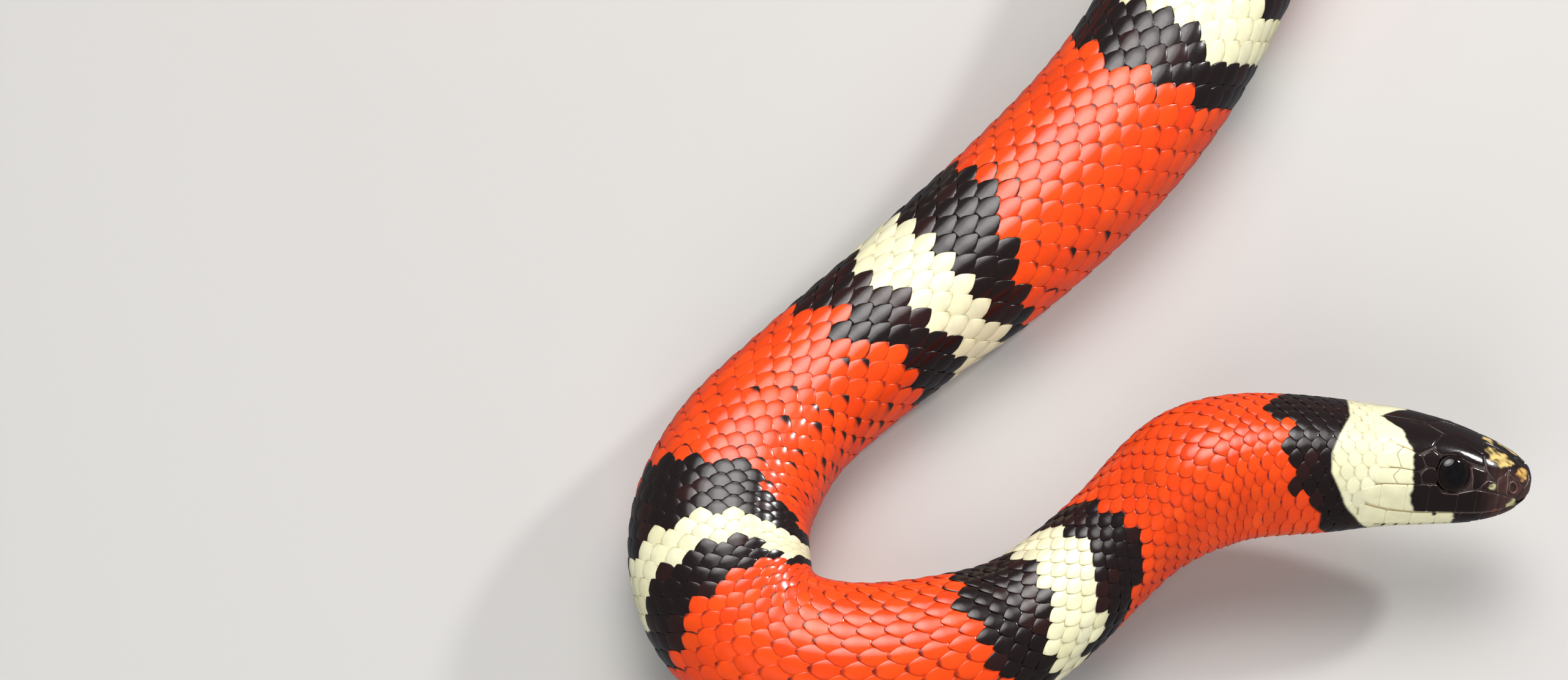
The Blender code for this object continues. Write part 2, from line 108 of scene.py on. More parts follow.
# Corners of the shields of the right side: (distance from the snout, degrees round from the top).
PAIRED_SHIELDS = {
    "internasal": ((1.2, 0.9), (2.6, 0.9), (3.5, 24), (4.0, 42), (3.0, 56), (1.3, 68), (0.9, 35)),
    "prefrontal": (
        (2.6, 0.9), (7.3, 0.9), (7.6, 27), (7.0, 50), (6.0, 63), (5.0, 57), (4.0, 42), (3.5, 24),
    ),
    "supraocular": (
        (7.6, 27), (10.5, 18), (13.5, 12), (15.0, 33), (13.9, 40), (12.0, 36), (9.6, 43), (7.4, 44),
    ),
    "parietal": ((13.6, 11), (15.9, 0.9), (23.3, 0.9), (23.0, 17), (20.4, 32.5), (17.0, 41.5), (15.1, 33)),
    "preocular": ((9.3, 48), (7.0, 52), (7.0, 63), (8.0, 77), (9.0, 80), (9.0, 64)),
    "loreal": ((6.9, 65), (5.6, 67), (5.5, 84), (6.6, 83), (7.9, 77)),
    "postnasal": ((5.4, 60), (4.2, 47), (4.1, 68), (4.2, 90), (5.3, 85)),
    "prenasal": ((4.0, 46), (3.0, 59), (1.4, 73), (1.9, 92), (2.6, 99), (4.0, 90), (3.9, 68)),
    "postocular_upper": ((14.0, 41), (15.1, 35), (16.6, 43), (15.9, 56), (14.4, 56)),
    "postocular_lower": ((14.5, 57), (15.9, 57), (16.7, 66), (16.2, 73), (14.2, 73)),
    "temporal_upper": ((16.7, 43.5), (19.2, 36.2), (20.1, 44), (19.4, 58.4), (17.0, 60.5), (16.0, 56)),
    "temporal_upper_rear": ((19.3, 36), (20.3, 33.5), (22.4, 43), (21.9, 57.5), (19.5, 58.3), (20.2, 44)),
    "temporal_lower": ((16.8, 61.5), (19.5, 59.2), (20.5, 67), (19.8, 74), (16.4, 74)),
    "temporal_lower_rear": ((19.6, 59.1), (22.4, 59), (23.4, 67), (22.9, 74), (19.9, 74), (20.6, 67)),
}
# Lips: places of the seams between their shields, upper edge of the upper ones, how far down the lower ones
# reach, and how far each lip stays from the line of the mouth, in degrees.
UPPER_LIP_SEAMS = (2.4, 5.3, 8.3, 11.0, 15.2, 18.4, 22.0, 24.7)
UPPER_LIP_TOPS = (
    (2.4, 101), (4.0, 92), (5.3, 87), (8.4, 80), (9.4, 82), (11.6, 86), (13.4, 84), (14.2, 75), (22.0, 75),
    (24.7, 80),
)
LOWER_LIP_SEAMS = (2.2, 4.6, 7.2, 10.2, 13.6, 17.2, 20.8, 24.7)
LOWER_LIP_DEPTH = 25.0
LIP_OVER_MOUTH = 0.8
LIP_UNDER_MOUTH = 1.5
# Chin shields of the right side, as the shields above.
CHIN_SHIELDS = (
    ((2.8, 178), (8.0, 178), (8.6, 160), (5.2, 150), (3.0, 160)),
    ((8.4, 178), (13.4, 172), (13.0, 158), (9.0, 158)),
)


def smooth(t):
    t = np.clip(t, 0.0, 1.0)
    return t * t * (3.0 - 2.0 * t)


def ramp(at, start, end):
    """Smooth rise from 0 at the start to 1 at the end."""
    return smooth((at - start) / (end - start))


def between(stations, at):
    """Value read straight between (place, value) stations."""
    return np.interp(at, *np.array(stations).T)


def unit(vectors):
    """The same directions with a length of one."""
    return vectors / np.linalg.norm(vectors, axis=-1, keepdims=True)


def through(stations, at):
    """Smooth value through (place, value) stations, with no overshoot."""
    x = np.array([a for a, _ in stations], float)
    y = np.array([b for _, b in stations], float)
    rise = np.diff(y) / np.diff(x)
    slope = np.zeros(len(x))
    for i in range(1, len(x) - 1):
        if rise[i - 1] * rise[i] > 0:
            first = 2 * (x[i + 1] - x[i]) + (x[i] - x[i - 1])
            second = (x[i + 1] - x[i]) + 2 * (x[i] - x[i - 1])
            slope[i] = (first + second) / (first / rise[i - 1] + second / rise[i])
    slope[0] = rise[0]
    slope[-1] = rise[-1]
    at = np.clip(np.asarray(at, float), x[0], x[-1])
    i = np.clip(np.searchsorted(x, at, side="right") - 1, 0, len(x) - 2)
    h = x[i + 1] - x[i]
    t = (at - x[i]) / h
    start = y[i] * (1 + 2 * t) * (1 - t) ** 2 + h * slope[i] * t * (1 - t) ** 2
    end = y[i + 1] * t * t * (3 - 2 * t) + h * slope[i + 1] * t * t * (t - 1)
    return start + end


HALF_WIDTH = tuple((a, w) for a, w, _, _ in HEAD_SECTIONS) + BODY_WIDTHS
HEIGHT = tuple((a, h) for a, _, h, _ in HEAD_SECTIONS) + tuple((a, w * BODY_HEIGHT) for a, w in BODY_WIDTHS)
DEPTH = tuple((a, d) for a, _, _, d in HEAD_SECTIONS) + tuple((a, w * BODY_DEPTH) for a, w in BODY_WIDTHS)


def blended(values, length):
    """Values along the middle line, averaged over a length."""
    wide = int(round(length / STEP)) | 1
    window = np.hanning(wide + 2)[1:-1]
    padded = np.pad(values, wide // 2, mode="edge")
    return np.convolve(padded, window / window.sum(), mode="valid")


def middle_line():
    """Places along the path, points on it and its directions, in small equal steps."""
    bends = FRONT_BENDS + REAR_BENDS
    count = int(round(sum(length for length, _ in bends) / STEP))
    middles = (np.arange(count) + 0.5) * STEP
    turning = np.zeros(count)
    start = 0.0
    for length, turn in bends:
        inside = (middles >= start) & (middles < start + length)
        turning[inside] = math.radians(turn) / length
        start += length
    turning = blended(turning, BEND_BLEND)
    heading = math.radians(HEADING) + np.concatenate([[0.0], np.cumsum(turning) * STEP])
    between = (heading[:-1] + heading[1:]) / 2
    steps = np.column_stack([np.cos(between), np.sin(between)]) * STEP
    plan = np.concatenate([[[0.0, 0.0]], np.cumsum(steps, axis=0)])
    places = np.arange(count + 1) * STEP
    depth = through(DEPTH, places)
    height = depth - np.minimum(BELLY_CUT, BELLY_CUT_SHARE * depth)
    lying = float(np.interp(LIFT_END, places, height))
    raised = places < LIFT_END
    height[raised] = through(LIFT + ((LIFT_END, lying),), places[raised])
    settled = smooth((places - LIFT_END + SETTLE_REACH) / SETTLE_BLEND)
    settled = settled * (1 - smooth((places - LIFT_END - SETTLE_REACH) / SETTLE_BLEND))
    height = height + (blended(height, LIFT_BLEND) - height) * settled
    points = np.column_stack([plan, height])
    back = unit(np.gradient(points, places, axis=0))
    side = unit(np.cross(back, (0.0, 0.0, 1.0)))
    up = np.cross(side, back)
    lean = math.radians(LEAN) * (1 - smooth((places - LEAN_FROM) / LEAN_LENGTH))
    cosine = np.cos(lean)[:, None]
    sine = np.sin(lean)[:, None]
    return places, points, side * cosine - up * sine, up * cosine + side * sine


PLACES, POINTS, SIDES, UPS = middle_line()


def at_place(rows, place):
    """Rows of the middle line read between its steps."""
    return np.stack([np.interp(place, PLACES, rows[:, k]) for k in range(3)], axis=-1)


def section(degrees):
    """Shares of the half width and of the height or depth round a section, and where it is the depth."""
    angle = np.radians(np.asarray(degrees, float))
    below = np.cos(angle) < 0
    power = 2 / np.where(below, ROUND_BELOW, ROUND_ABOVE)
    across = np.sign(np.sin(angle)) * np.abs(np.sin(angle)) ** power
    upward = np.sign(np.cos(angle)) * np.abs(np.cos(angle)) ** power
    return across, upward, below


def skin(place, degrees):
    """Points on the skin. Angles run from the top, positive towards the animal's left side."""
    place = np.asarray(place, float)
    across, upward, below = section(degrees)
    across = across * through(HALF_WIDTH, place)
    upward = upward * np.where(below, through(DEPTH, place), through(HEIGHT, place))
    points = at_place(POINTS, place)
    points = points + at_place(SIDES, place) * across[..., None] + at_place(UPS, place) * upward[..., None]
    points[..., 2] = np.maximum(points[..., 2], 0.0)
    return points


def skin_normal(place, degrees):
    """Outward direction of the skin."""
    place = np.asarray(place, float)
    degrees = np.asarray(degrees, float)
    along = skin(place + 0.15, degrees) - skin(np.maximum(place - 0.15, 0.0), degrees)
    around = skin(place, degrees + 2) - skin(place, degrees - 2)
    normal = np.cross(around, along)
    normal /= np.maximum(np.linalg.norm(normal, axis=-1), 1e-9)[..., None]
    outward = skin(place, degrees) - at_place(POINTS, place)
    return normal * np.where((normal * outward).sum(axis=-1) < 0, -1.0, 1.0)[..., None]


def centre_of_plan():
    """Middle of the whole animal seen from above."""
    angles = np.arange(0, 360, 6.0)
    places = np.arange(0.5, PLACES[-1], 1.0)
    points = skin(places[:, None], angles[None, :] + 0 * places[:, None])[..., :2].reshape(-1, 2)
    return (points.min(axis=0) + points.max(axis=0)) / 2


ORIGIN = np.append(centre_of_plan(), 0.0)


def in_metres(points):
    return (np.asarray(points, float) - ORIGIN) * MM


def mouth_angle(place):
    """Degrees round from the top at which the line of the mouth meets the skin."""
    share = -through(MOUTH, place) / through(DEPTH, place)
    above = np.clip(through(MOUTH, place) / through(HEIGHT, place), 0.0, 1.0)
    under = 90 + np.degrees(np.arcsin(np.clip(share, 0.0, 1.0) ** (ROUND_BELOW / 2)))
    over = np.degrees(np.arccos(above ** (ROUND_ABOVE / 2)))
    return np.where(share > 0, under, over)


def lip_outlines():
    """Outlines of the shields along both lips of one side."""
    outlines = []
    for start, end in zip(UPPER_LIP_SEAMS[:-1], UPPER_LIP_SEAMS[1:]):
        first, last = ((at, float(between(UPPER_LIP_TOPS, at))) for at in (start, end))
        tops = [(at, angle) for at, angle in UPPER_LIP_TOPS if start < at < end]
        bottom = [(at, float(mouth_angle(at)) - LIP_OVER_MOUTH) for at in (end, start)]
        outlines.append([first, *tops, last, *bottom])
    for ends in zip(LOWER_LIP_SEAMS[:-1], LOWER_LIP_SEAMS[1:]):
        top = [(at, float(mouth_angle(at)) + LIP_UNDER_MOUTH) for at in ends]
        outlines.append(top + [(at, angle + LOWER_LIP_DEPTH) for at, angle in reversed(top)])
    return outlines


# Colours in linear light: black, red, cream, and those of the mottled snout.
BLACK = (0.012, 0.0065, 0.0062)
RED = (0.88, 0.068, 0.007)
CREAM = (0.86, 0.83, 0.55)
KINDS = np.array((BLACK, RED, CREAM))
BROWN = (0.085, 0.040, 0.034)
STRAW = (0.66, 0.48, 0.17)
TAN = (0.62, 0.36, 0.10)
RUST = (0.30, 0.07, 0.02)
PALE_GREEN = (0.55, 0.53, 0.27)
# Seams and tips of the scales, seams of the head's shields, skin of the head, ring round the eye, and eye.
RED_SEAM = (0.30, 0.024, 0.007)
CREAM_SEAM = (0.38, 0.27, 0.10)
BLACK_SEAM = (0.030, 0.019, 0.018)
RED_TIP = (0.07, 0.010, 0.014)
NECK_TIP = (0.12, 0.012, 0.030)
SHIELD_SEAM = (0.07, 0.047, 0.042)
SIDE_SEAM = (0.32, 0.237, 0.217)
PALE_SEAM = (0.60, 0.49, 0.26)
TIP_SEAM = (0.06, 0.04, 0.036)
HEAD_SKIN = (0.05, 0.033, 0.029)
SNOUT_TIP = (0.02, 0.013, 0.012)
EYE_RING = (0.035, 0.022, 0.020)
PUPIL = (0.006, 0.005, 0.006)
IRIS = (0.016, 0.008, 0.006)
# Shares of scales: black ones that are stained, red ones with a dark tip, with a black spot inside the left
# bend and elsewhere, and with a black rim beside a black ring.
STAINED = 0.2
DARK_TIPPED = 0.9
SPOTTED_INSIDE = 0.45
SPOTTED = 0.01
RIMMED = 0.16

# Length of one row step of the scales along the body.
PITCH = (
    (8, 1.75), (26, 1.9), (45, 2.05), (60, 2.4), (80, 3.15), (96, 3.9), (106, 3.9), (113, 2.9), (119, 1.85),
    (124, 1.75), (130, 1.95), (139, 2.3), (147, 3.0), (156, 3.8), (166, 4.15), (250, 4.2), (480, 4.3),
    (780, 4.0), (845, 3.4), (900, 2.6), (950, 1.9), (985, 1.2),
)
# Row step and width of a full-size scale.
FULL_PITCH = 4.2
FULL_WIDTH = 2.4
# Rows across the back and sides along the body.
ROWS = ((8, 21), (560, 21), (700, 19), (790, 17), (845, 15), (880, 11), (930, 8), (985, 5))
# Share of half the girth that the rows cover. Shape of one scale in row steps: half width, tip and root.
DORSAL = 0.72
WIDEST = 0.80
TIP_LENGTH = 0.56
ROOT_AT = 1.14
# Heights of one scale: slope from tip to root, swell across, drops at the tip and the rims, and thickness.
RISE = 0.36
CROWN = 0.36
TIP_DROP = 0.20
RIM_DROP = 0.035
NEAR_RIM_DROP = 0.006
THICK = 0.12
# How far the scales stand over the skin, and the first ones over the shields' rims.
RAISED = 0.14
FIRST_LIFT = 0.2
# Spread of turn, slide, tilt and colour edge from scale to scale.
TURN_SPREAD = 0.02
SLIDE_SPREAD = 0.015
TILT_SPREAD = 0.012
EDGE_SPREAD = 0.08
# Share of a row step that a scale's patch takes up, along and across.
PATCH_LONG = 0.7
PATCH_WIDE = 0.35
# Depth of the skin under the solids' surface along the body.
SKIN_DEPTH = ((0, 0.05), (18, 0.07), (27, 0.2), (60, 0.28), (100, 0.42), (845, 0.42), (985, 0.14))
# Where the small scales begin behind the head shields: (degrees round from the top, place).
SCALES_FROM = (
    (0, 22.9), (17, 22.4), (32, 20.2), (44, 21.6), (57, 21.1), (66, 21.9), (75, 22.3), (80, 24.8),
    (104, 24.9), (112, 24.5), (122, 21.0), (127, 9.6), (150, 9.0), (158, 9.4), (161, 13.4), (180, 13.4),
)
# Where the belly plates begin, the jaw turns pale and its own colours end, the collar's colours stop running
# across scales, and the neck ends.
BELLY_FROM = 29.0
JAW_PALE_FROM = 11.2
JAW_COLOURS_END = 19.0
COLLAR_END = 31.0
NECK_END = 75.0

# Where each colour begins, from the collar tailwards: (kind, (degrees round from the top, place)). The kinds
# are 0 black, 1 red and 2 cream.
SEEN_EDGES = (
    (2, (
        (-180, 17.2), (-98, 17.2), (-84, 17.9), (-74, 17.6), (-60, 17.9), (-42, 17.8), (-30, 18.6),
        (-16, 19.4), (0, 22), (18, 18.3), (42, 17.8), (60, 17.9), (74, 17.6), (84, 17.9), (98, 17.2),
        (180, 17.2),
    )),
    (0, (
        (-180, 22), (-132, 23), (-106, 25), (-90, 27), (-66, 29), (-48, 29), (-30, 28), (-6, 26.4),
        (28, 26.3), (48, 28.5), (66, 29), (90, 27), (132, 23), (180, 22),
    )),
    (1, (
        (-180, 26), (-144, 28), (-120, 30), (-100, 30), (-90, 32), (-78, 34), (-34, 35), (-14, 34.3),
        (0, 38), (20, 36), (60, 34.5), (90, 32), (130, 29), (180, 26),
    )),
    (0, (
        (-180, 74), (-98, 68), (-72, 64), (-62, 61), (-42, 58), (0, 58), (38, 62), (72, 65), (98, 69),
        (180, 74),
    )),
    (2, (
        (-180, 79), (-96, 74), (-68, 70), (-40, 68), (-20, 66), (0, 64), (30, 66), (68, 70), (96, 74),
        (180, 79),
    )),
    (0, ((-180, 82), (-66, 78), (-46, 77), (-20, 76), (-2, 74), (20, 73), (62, 74), (100, 77), (180, 82))),
    (1, (
        (-180, 85), (-120, 84), (-38, 86), (-24, 88), (-16, 87), (4, 89), (22, 86), (46, 87), (100, 84),
        (180, 85),
    )),
    (0, ((-180, 120), (-66, 120), (-44, 122), (-18, 122), (10, 123), (28, 122), (40, 119), (180, 119))),
    (2, (
        (-180, 123), (-96, 124), (-76, 124), (-64, 126), (-46, 127), (-10, 127), (0, 128), (22, 126.6),
        (40, 122.6), (90, 121.4), (180, 123),
    )),
    (0, (
        (-180, 127), (-120, 128.5), (-74, 130), (-44, 130), (-24, 131), (-6, 132), (18, 131), (32, 128.8),
        (60, 127.8), (90, 127), (180, 127),
    )),
    (1, (
        (-180, 134), (-120, 136), (-74, 137), (-64, 139), (-32, 138), (14, 140), (20, 138), (30, 136),
        (46, 134), (60, 131), (180, 130),
    )),
    (0, (
        (-180, 167), (-64, 166), (-28, 168), (-8, 170), (0, 168), (22, 172), (50, 172), (100, 173),
        (180, 175),
    )),
    (2, ((-180, 176), (-64, 179), (-4, 178), (18, 180), (66, 180), (106, 180), (180, 179))),
    (0, ((-180, 190), (-62, 188), (-16, 187), (0, 187), (18, 188), (66, 188), (104, 189), (180, 190))),
    (1, ((-180, 202), (-54, 200), (-18, 200), (2, 198), (16, 196), (34, 196), (50, 194), (180, 194))),
    (0, ((-180, 238), (-66, 232), (-20, 228), (4, 228), (24, 229), (52, 232), (90, 238), (180, 242))),
    (2, ((-180, 246), (-100, 243), (-8, 240), (18, 239), (38, 239), (70, 243), (100, 247), (180, 250))),
    (0, ((-180, 254), (-100, 252), (0, 250), (52, 250), (70, 251), (96, 256), (180, 258))),
)
# The rule that carries the rings on behind these: lengths of red, black, cream and black, and how far each
# edge moves back at the sides.
RING_LENGTHS = (30.0, 10.5, 9.5, 10.5)
RING_SIDES = (-4.0, 4.0, 1.2, -1.2)
RINGS_FROM = 261.0
RING_SHARE = ((845, 1.0), (870, 0.85), (985, 0.42))

# Places, angles and shares of the girth in the table of the skin's angles.
STATIONS = np.concatenate([np.arange(0.5, 90.0, 1.0), np.arange(90.0, PLACES[-1] + 4.9, 5.0)])
ROUND = np.arange(0.0, 181.0, 1.5)
SHARES = np.linspace(0.0, 1.0, 81)


def girth_tables():
    """Half the girth at each station, and the angle at each share of it from the top."""
    across, upward, below = section(ROUND)
    x = across * through(HALF_WIDTH, STATIONS)[:, None]
    z = upward * np.where(below, through(DEPTH, STATIONS)[:, None], through(HEIGHT, STATIONS)[:, None])
    run = np.hypot(np.diff(x, axis=1), np.diff(z, axis=1)).cumsum(axis=1)
    run = np.concatenate([np.zeros((len(run), 1)), run], axis=1)
    angles = np.stack([np.interp(SHARES, row / row[-1], ROUND) for row in run])
    return run[:, -1], angles


HALF_GIRTH, SHARE_ANGLES = girth_tables()
PHASE_STEP = 0.25
PHASE_PLACES = np.arange(6.0, PLACES[-1] + 3.0, PHASE_STEP)
PHASES = np.cumsum(PHASE_STEP / through(PITCH, PHASE_PLACES[:-1] + PHASE_STEP / 2))
PHASES = np.concatenate([[0.0], PHASES])


def per_degree(place):
    """Length round the skin of one degree from the top."""
    return np.interp(place, STATIONS, HALF_GIRTH) / 180


def angle_at(place, share):
    """Degrees round from the top at a signed share of half the girth."""
    share = (share + 1.0) % 2.0 - 1.0
    row = np.clip(np.interp(place, STATIONS, np.arange(len(STATIONS))), 0, len(STATIONS) - 1.001)
    column = np.clip(np.abs(share) * (len(SHARES) - 1), 0, len(SHARES) - 1.001)
    i, j = row.astype(int), column.astype(int)
    a, b = row - i, column - j
    front = SHARE_ANGLES[i, j] * (1 - b) + SHARE_ANGLES[i, j + 1] * b
    back = SHARE_ANGLES[i + 1, j] * (1 - b) + SHARE_ANGLES[i + 1, j + 1] * b
    return np.sign(share) * (front * (1 - a) + back * a)


def place_at(phase):
    return np.interp(phase, PHASES, PHASE_PLACES)


def phase_of(place):
    return np.interp(place, PHASE_PLACES, PHASES)


def row_share(place, row):
    """Share of half the girth at a row across the back. Rows widen down the sides."""
    r = np.abs(row) / (0.5 * through(ROWS, place))
    inside = np.minimum(r, 1.0)
    share = DORSAL * ((inside + 0.2 * inside ** 4) / 1.2 + 1.4 * (r - inside))
    return np.sign(row) * share


def ring_edges():
    """Every edge between two colours: (kind, angles, places)."""
    draw = np.random.default_rng(41)
    edges = [(kind, *np.array(stations, float).T) for kind, stations in SEEN_EDGES]
    angles = np.arange(-180.0, 181.0, 15.0)
    side = np.minimum(np.abs(angles) / 110.0, 1.3) ** 2
    place = RINGS_FROM
    while place < PLACES[-1]:
        for kind, length, shift in zip((1, 0, 2, 0), RING_LENGTHS, RING_SIDES):
            share = between(RING_SHARE, place)
            wave = draw.normal(0, 0.5, len(angles))
            wave[-1] = wave[0]
            edges.append((kind, angles, place + (shift * side + wave) * share))
            place += length * share * draw.uniform(0.93, 1.07)
    return edges


EDGES = ring_edges()


def kind_at(place, degrees):
    """Which colour a place on the body has: 0 black, 1 red, 2 cream."""
    kind = np.zeros(np.broadcast(place, degrees).shape, int)
    for colour, angles, places in EDGES:
        kind[place > np.interp(degrees, angles, places)] = colour
    jaw = (place < JAW_COLOURS_END) & (np.abs(degrees) > mouth_angle(place))
    return np.where(jaw, np.where(place > JAW_PALE_FROM, 2, 0), kind)


def colour_at(place, degrees):
    """Colour of places on the head and collar, blended a little across each edge."""
    steps = (-0.14, -0.07, 0.0, 0.07, 0.14)
    return sum(KINDS[kind_at(place + step, degrees)] for step in steps) / len(steps)


def lifted(place, degrees, height):
    """Points at a height above the skin of the solids, and not under the floor."""
    points = skin(place, degrees) + skin_normal(place, degrees) * np.asarray(height, float)[..., None]
    points[..., 2] = np.maximum(points[..., 2], 0.0)
    return points


def frame_on_skin(place, degrees, sunk=0.0):
    """A point on the skin or sunk under it, two directions across and the outward direction."""
    outward = skin_normal([place], [degrees])[0]
    centre = skin([place], [degrees])[0] - outward * sunk
    first = unit(np.cross(outward, at_place(SIDES, [place])[0]))
    return centre, first, np.cross(outward, first), outward


EYES = {side: frame_on_skin(EYE_AT, EYE_ANGLE * side, BALL_SUNK) for side in (-1, 1)}


def from_eye(points, side):
    """Distance of points from an eye's axis. Points well behind the eye count as far away."""
    centre, _, _, outward = EYES[side]
    away = points - centre
    along = away @ outward
    radial = np.linalg.norm(away - along[..., None] * outward, axis=-1)
    return np.where(along > -0.9, radial, 99.0)


def mixed(tint, colour, amount):
    """Colours moved towards another one, by an amount at each point."""
    amount = np.asarray(amount, float)[..., None]
    return tint * (1 - amount) + np.asarray(colour) * amount


def ring_faces(rings, around, closed=False):
    """Corners of the quads between rings of points. Closed also joins the last ring to the first."""
    i, j = np.meshgrid(np.arange(rings if closed else rings - 1), np.arange(around), indexing="ij")
    i, j = i.ravel() * around, j.ravel()
    after, beyond = (j + 1) % around, (i + around) % (rings * around)
    return np.stack([i + j, i + after, beyond + after, beyond + j], axis=1)


def fan_faces(start, around, tip):
    """Corners of the triangles between a ring of points and a tip."""
    ring = np.arange(around)
    return np.stack([start + ring, start + (ring + 1) % around, np.full(around, tip)], axis=1)


def grid_faces(rows, columns):
    """Corners of the quads of a grid of points, rows first."""
    i, j = np.meshgrid(np.arange(rows - 1), np.arange(columns - 1), indexing="ij")
    a = (i * columns + j).ravel()
    return np.stack([a, a + 1, a + columns + 1, a + columns], axis=1)


def repeated(faces, each, count):
    """Faces of many like forms, each with its own points."""
    return (faces[None] + (np.arange(count) * each)[:, None, None]).reshape(-1, 4)


def turns(count):
    """Angles of points evenly round a circle."""
    return np.arange(count) * 2 * math.pi / count


def add_object(name, data):
    obj = bpy.data.objects.new(name, data)
    bpy.context.scene.collection.objects.link(obj)
    return obj


def build(name, points, faces, tint, uv, material, replaces=()):
    """A mesh object. Faces is a list of arrays with the corners of each face. uv is by point or corner."""
    points, tint = np.reshape(points, (-1, 3)), np.reshape(tint, (-1, 3))
    loops = np.concatenate([some.ravel() for some in faces])
    sizes = np.concatenate([np.full(len(some), some.shape[1]) for some in faces])
    mesh = bpy.data.meshes.new(name)
    mesh.vertices.add(len(points))
    mesh.vertices.foreach_set("co", np.ascontiguousarray(in_metres(points), np.float32).ravel())
    mesh.loops.add(len(loops))
    mesh.loops.foreach_set("vertex_index", np.ascontiguousarray(loops, np.int32))
    mesh.polygons.add(len(sizes))
    starts = np.concatenate([[0], np.cumsum(sizes)[:-1]])
    mesh.polygons.foreach_set("loop_start", np.ascontiguousarray(starts, np.int32))
    mesh.polygons.foreach_set("use_smooth", np.ones(len(sizes), bool))
    mesh.update(calc_edges=True)
    colour = mesh.color_attributes.new("tint", "FLOAT_COLOR", "POINT")
    rgba = np.concatenate([tint, np.ones((len(points), 1))], axis=1)
    colour.data.foreach_set("color", np.ascontiguousarray(rgba, np.float32).ravel())
    if uv is not None:
        layer = mesh.uv_layers.new(name="OFBake")
        uv = np.reshape(uv, (-1, 2))
        corner = uv if len(uv) == len(loops) else uv[loops]
        layer.data.foreach_set("uv", np.ascontiguousarray(corner, np.float32).ravel())
    mesh.materials.append(material)
    obj = add_object(name, mesh)
    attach(obj, "root")
    if replaces:
        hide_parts(*replaces)


def new_material(name):
    """A material, with its surface node and the links between its nodes."""
    material = bpy.data.materials.new(name)
    material.use_nodes = True
    return material, material.node_tree.nodes["Principled BSDF"], material.node_tree.links


def noise(material, scale, detail):
    """Noise that is fixed to the model."""
    nodes = material.node_tree.nodes
    where = nodes.new("ShaderNodeTexCoord")
    grain = nodes.new("ShaderNodeTexNoise")
    grain.inputs["Scale"].default_value = scale
    grain.inputs["Detail"].default_value = detail
    material.node_tree.links.new(where.outputs["Object"], grain.inputs["Vector"])
    return grain.outputs["Fac"]


def spread(material, factor, low, high):
    """A factor from 0 to 1 spread between two values."""
    reach = material.node_tree.nodes.new("ShaderNodeMapRange")
    reach.inputs["To Min"].default_value = low
    reach.inputs["To Max"].default_value = high
    material.node_tree.links.new(factor, reach.inputs["Value"])
    return reach.outputs["Result"]


def tinted(material, factor):
    """The colour of each point scaled by a factor."""
    nodes, links = material.node_tree.nodes, material.node_tree.links
    tint = nodes.new("ShaderNodeAttribute")
    tint.attribute_name = "tint"
    scaled = nodes.new("ShaderNodeVectorMath")
    scaled.operation = "SCALE"
    links.new(tint.outputs["Color"], scaled.inputs[0])
    links.new(factor, scaled.inputs["Scale"])
    return scaled.outputs["Vector"]


def coat_material(name, roughness, bump, grain):
    """Glossy horn: the colour of each point, mottled a little, with fine unevenness."""
    material, surface, links = new_material(name)
    shade = spread(material, noise(material, grain, 4.0), 0.82, 1.16)
    links.new(tinted(material, shade), surface.inputs["Base Color"])
    fine = noise(material, 2600.0, 3.0)
    links.new(spread(material, fine, roughness - 0.05, roughness + 0.07), surface.inputs["Roughness"])
    raised = material.node_tree.nodes.new("ShaderNodeBump")
    raised.inputs["Strength"].default_value = bump
    raised.inputs["Distance"].default_value = 0.00005
    links.new(fine, raised.inputs["Height"])
    links.new(raised.outputs["Normal"], surface.inputs["Normal"])
    surface.inputs["Specular IOR Level"].default_value = 0.5
    return material


def eye_material():
    """A smooth wet surface, faintly flecked."""
    material, surface, links = new_material("eye")
    links.new(tinted(material, noise(material, 1800.0, 2.0)), surface.inputs["Base Color"])
    surface.inputs["Roughness"].default_value = 0.04
    surface.inputs["Specular IOR Level"].default_value = 0.5
    return material


# Skin: points round it, strips that it is unrolled in, and where the head's colours and its mouth end.
SKIN_SIDES = 120
SKIN_STRIPS = 4
HEAD_END = 26.0
MOUTH_END = 24.0
# Groove of the mouth: reach to each side, and depth at the front and behind the snout.
GROOVE_WIDE = 0.3
GROOVE_FRONT = 0.25
GROOVE_REAR = 0.10


def skin_places():
    """Places of the skin's rings: close on the head, wider apart behind it."""
    near = [0.04, 0.12, 0.25, 0.4, 0.6, 0.8] + list(np.arange(1.0, 30.0, 0.22))
    return np.array(near + list(np.arange(30.0, PLACES[-1] - 0.8, 2.2)) + [PLACES[-1] - 0.4])


def skin_depth(place, degrees):
    """How deep the skin lies under the solids' surface, with a groove at the mouth and room for the eyes."""
    from_mouth = np.abs(np.abs(degrees) - mouth_angle(place)) * per_degree(place)
    groove = np.exp(-((from_mouth / GROOVE_WIDE) ** 2)) * ramp(place, MOUTH_END, MOUTH_END - 3.0)
    deep = GROOVE_FRONT + (GROOVE_REAR - GROOVE_FRONT) * ramp(place, 9.0, 13.0)
    depth = between(SKIN_DEPTH, place) + deep * groove
    flat = skin(place, degrees)
    for side in (-1, 1):
        depth = np.where((place < HEAD_END) & (from_eye(flat, side) < EYE_RADIUS + 0.3), EYE_ROOM, depth)
    return depth


def strip_uv(places, columns):
    """Patch places of faces on the skin unrolled in strips, from the place and column of each corner."""
    long = PLACES[-1] / SKIN_STRIPS
    level = np.minimum(np.floor(places.mean(axis=1, keepdims=True) / long), SKIN_STRIPS - 1)
    u = np.clip(places / long - level, 0.0, 1.0)
    v = (level + 0.02 + 0.96 * columns / SKIN_SIDES) / SKIN_STRIPS
    return np.stack([u, v], axis=-1).reshape(-1, 2)


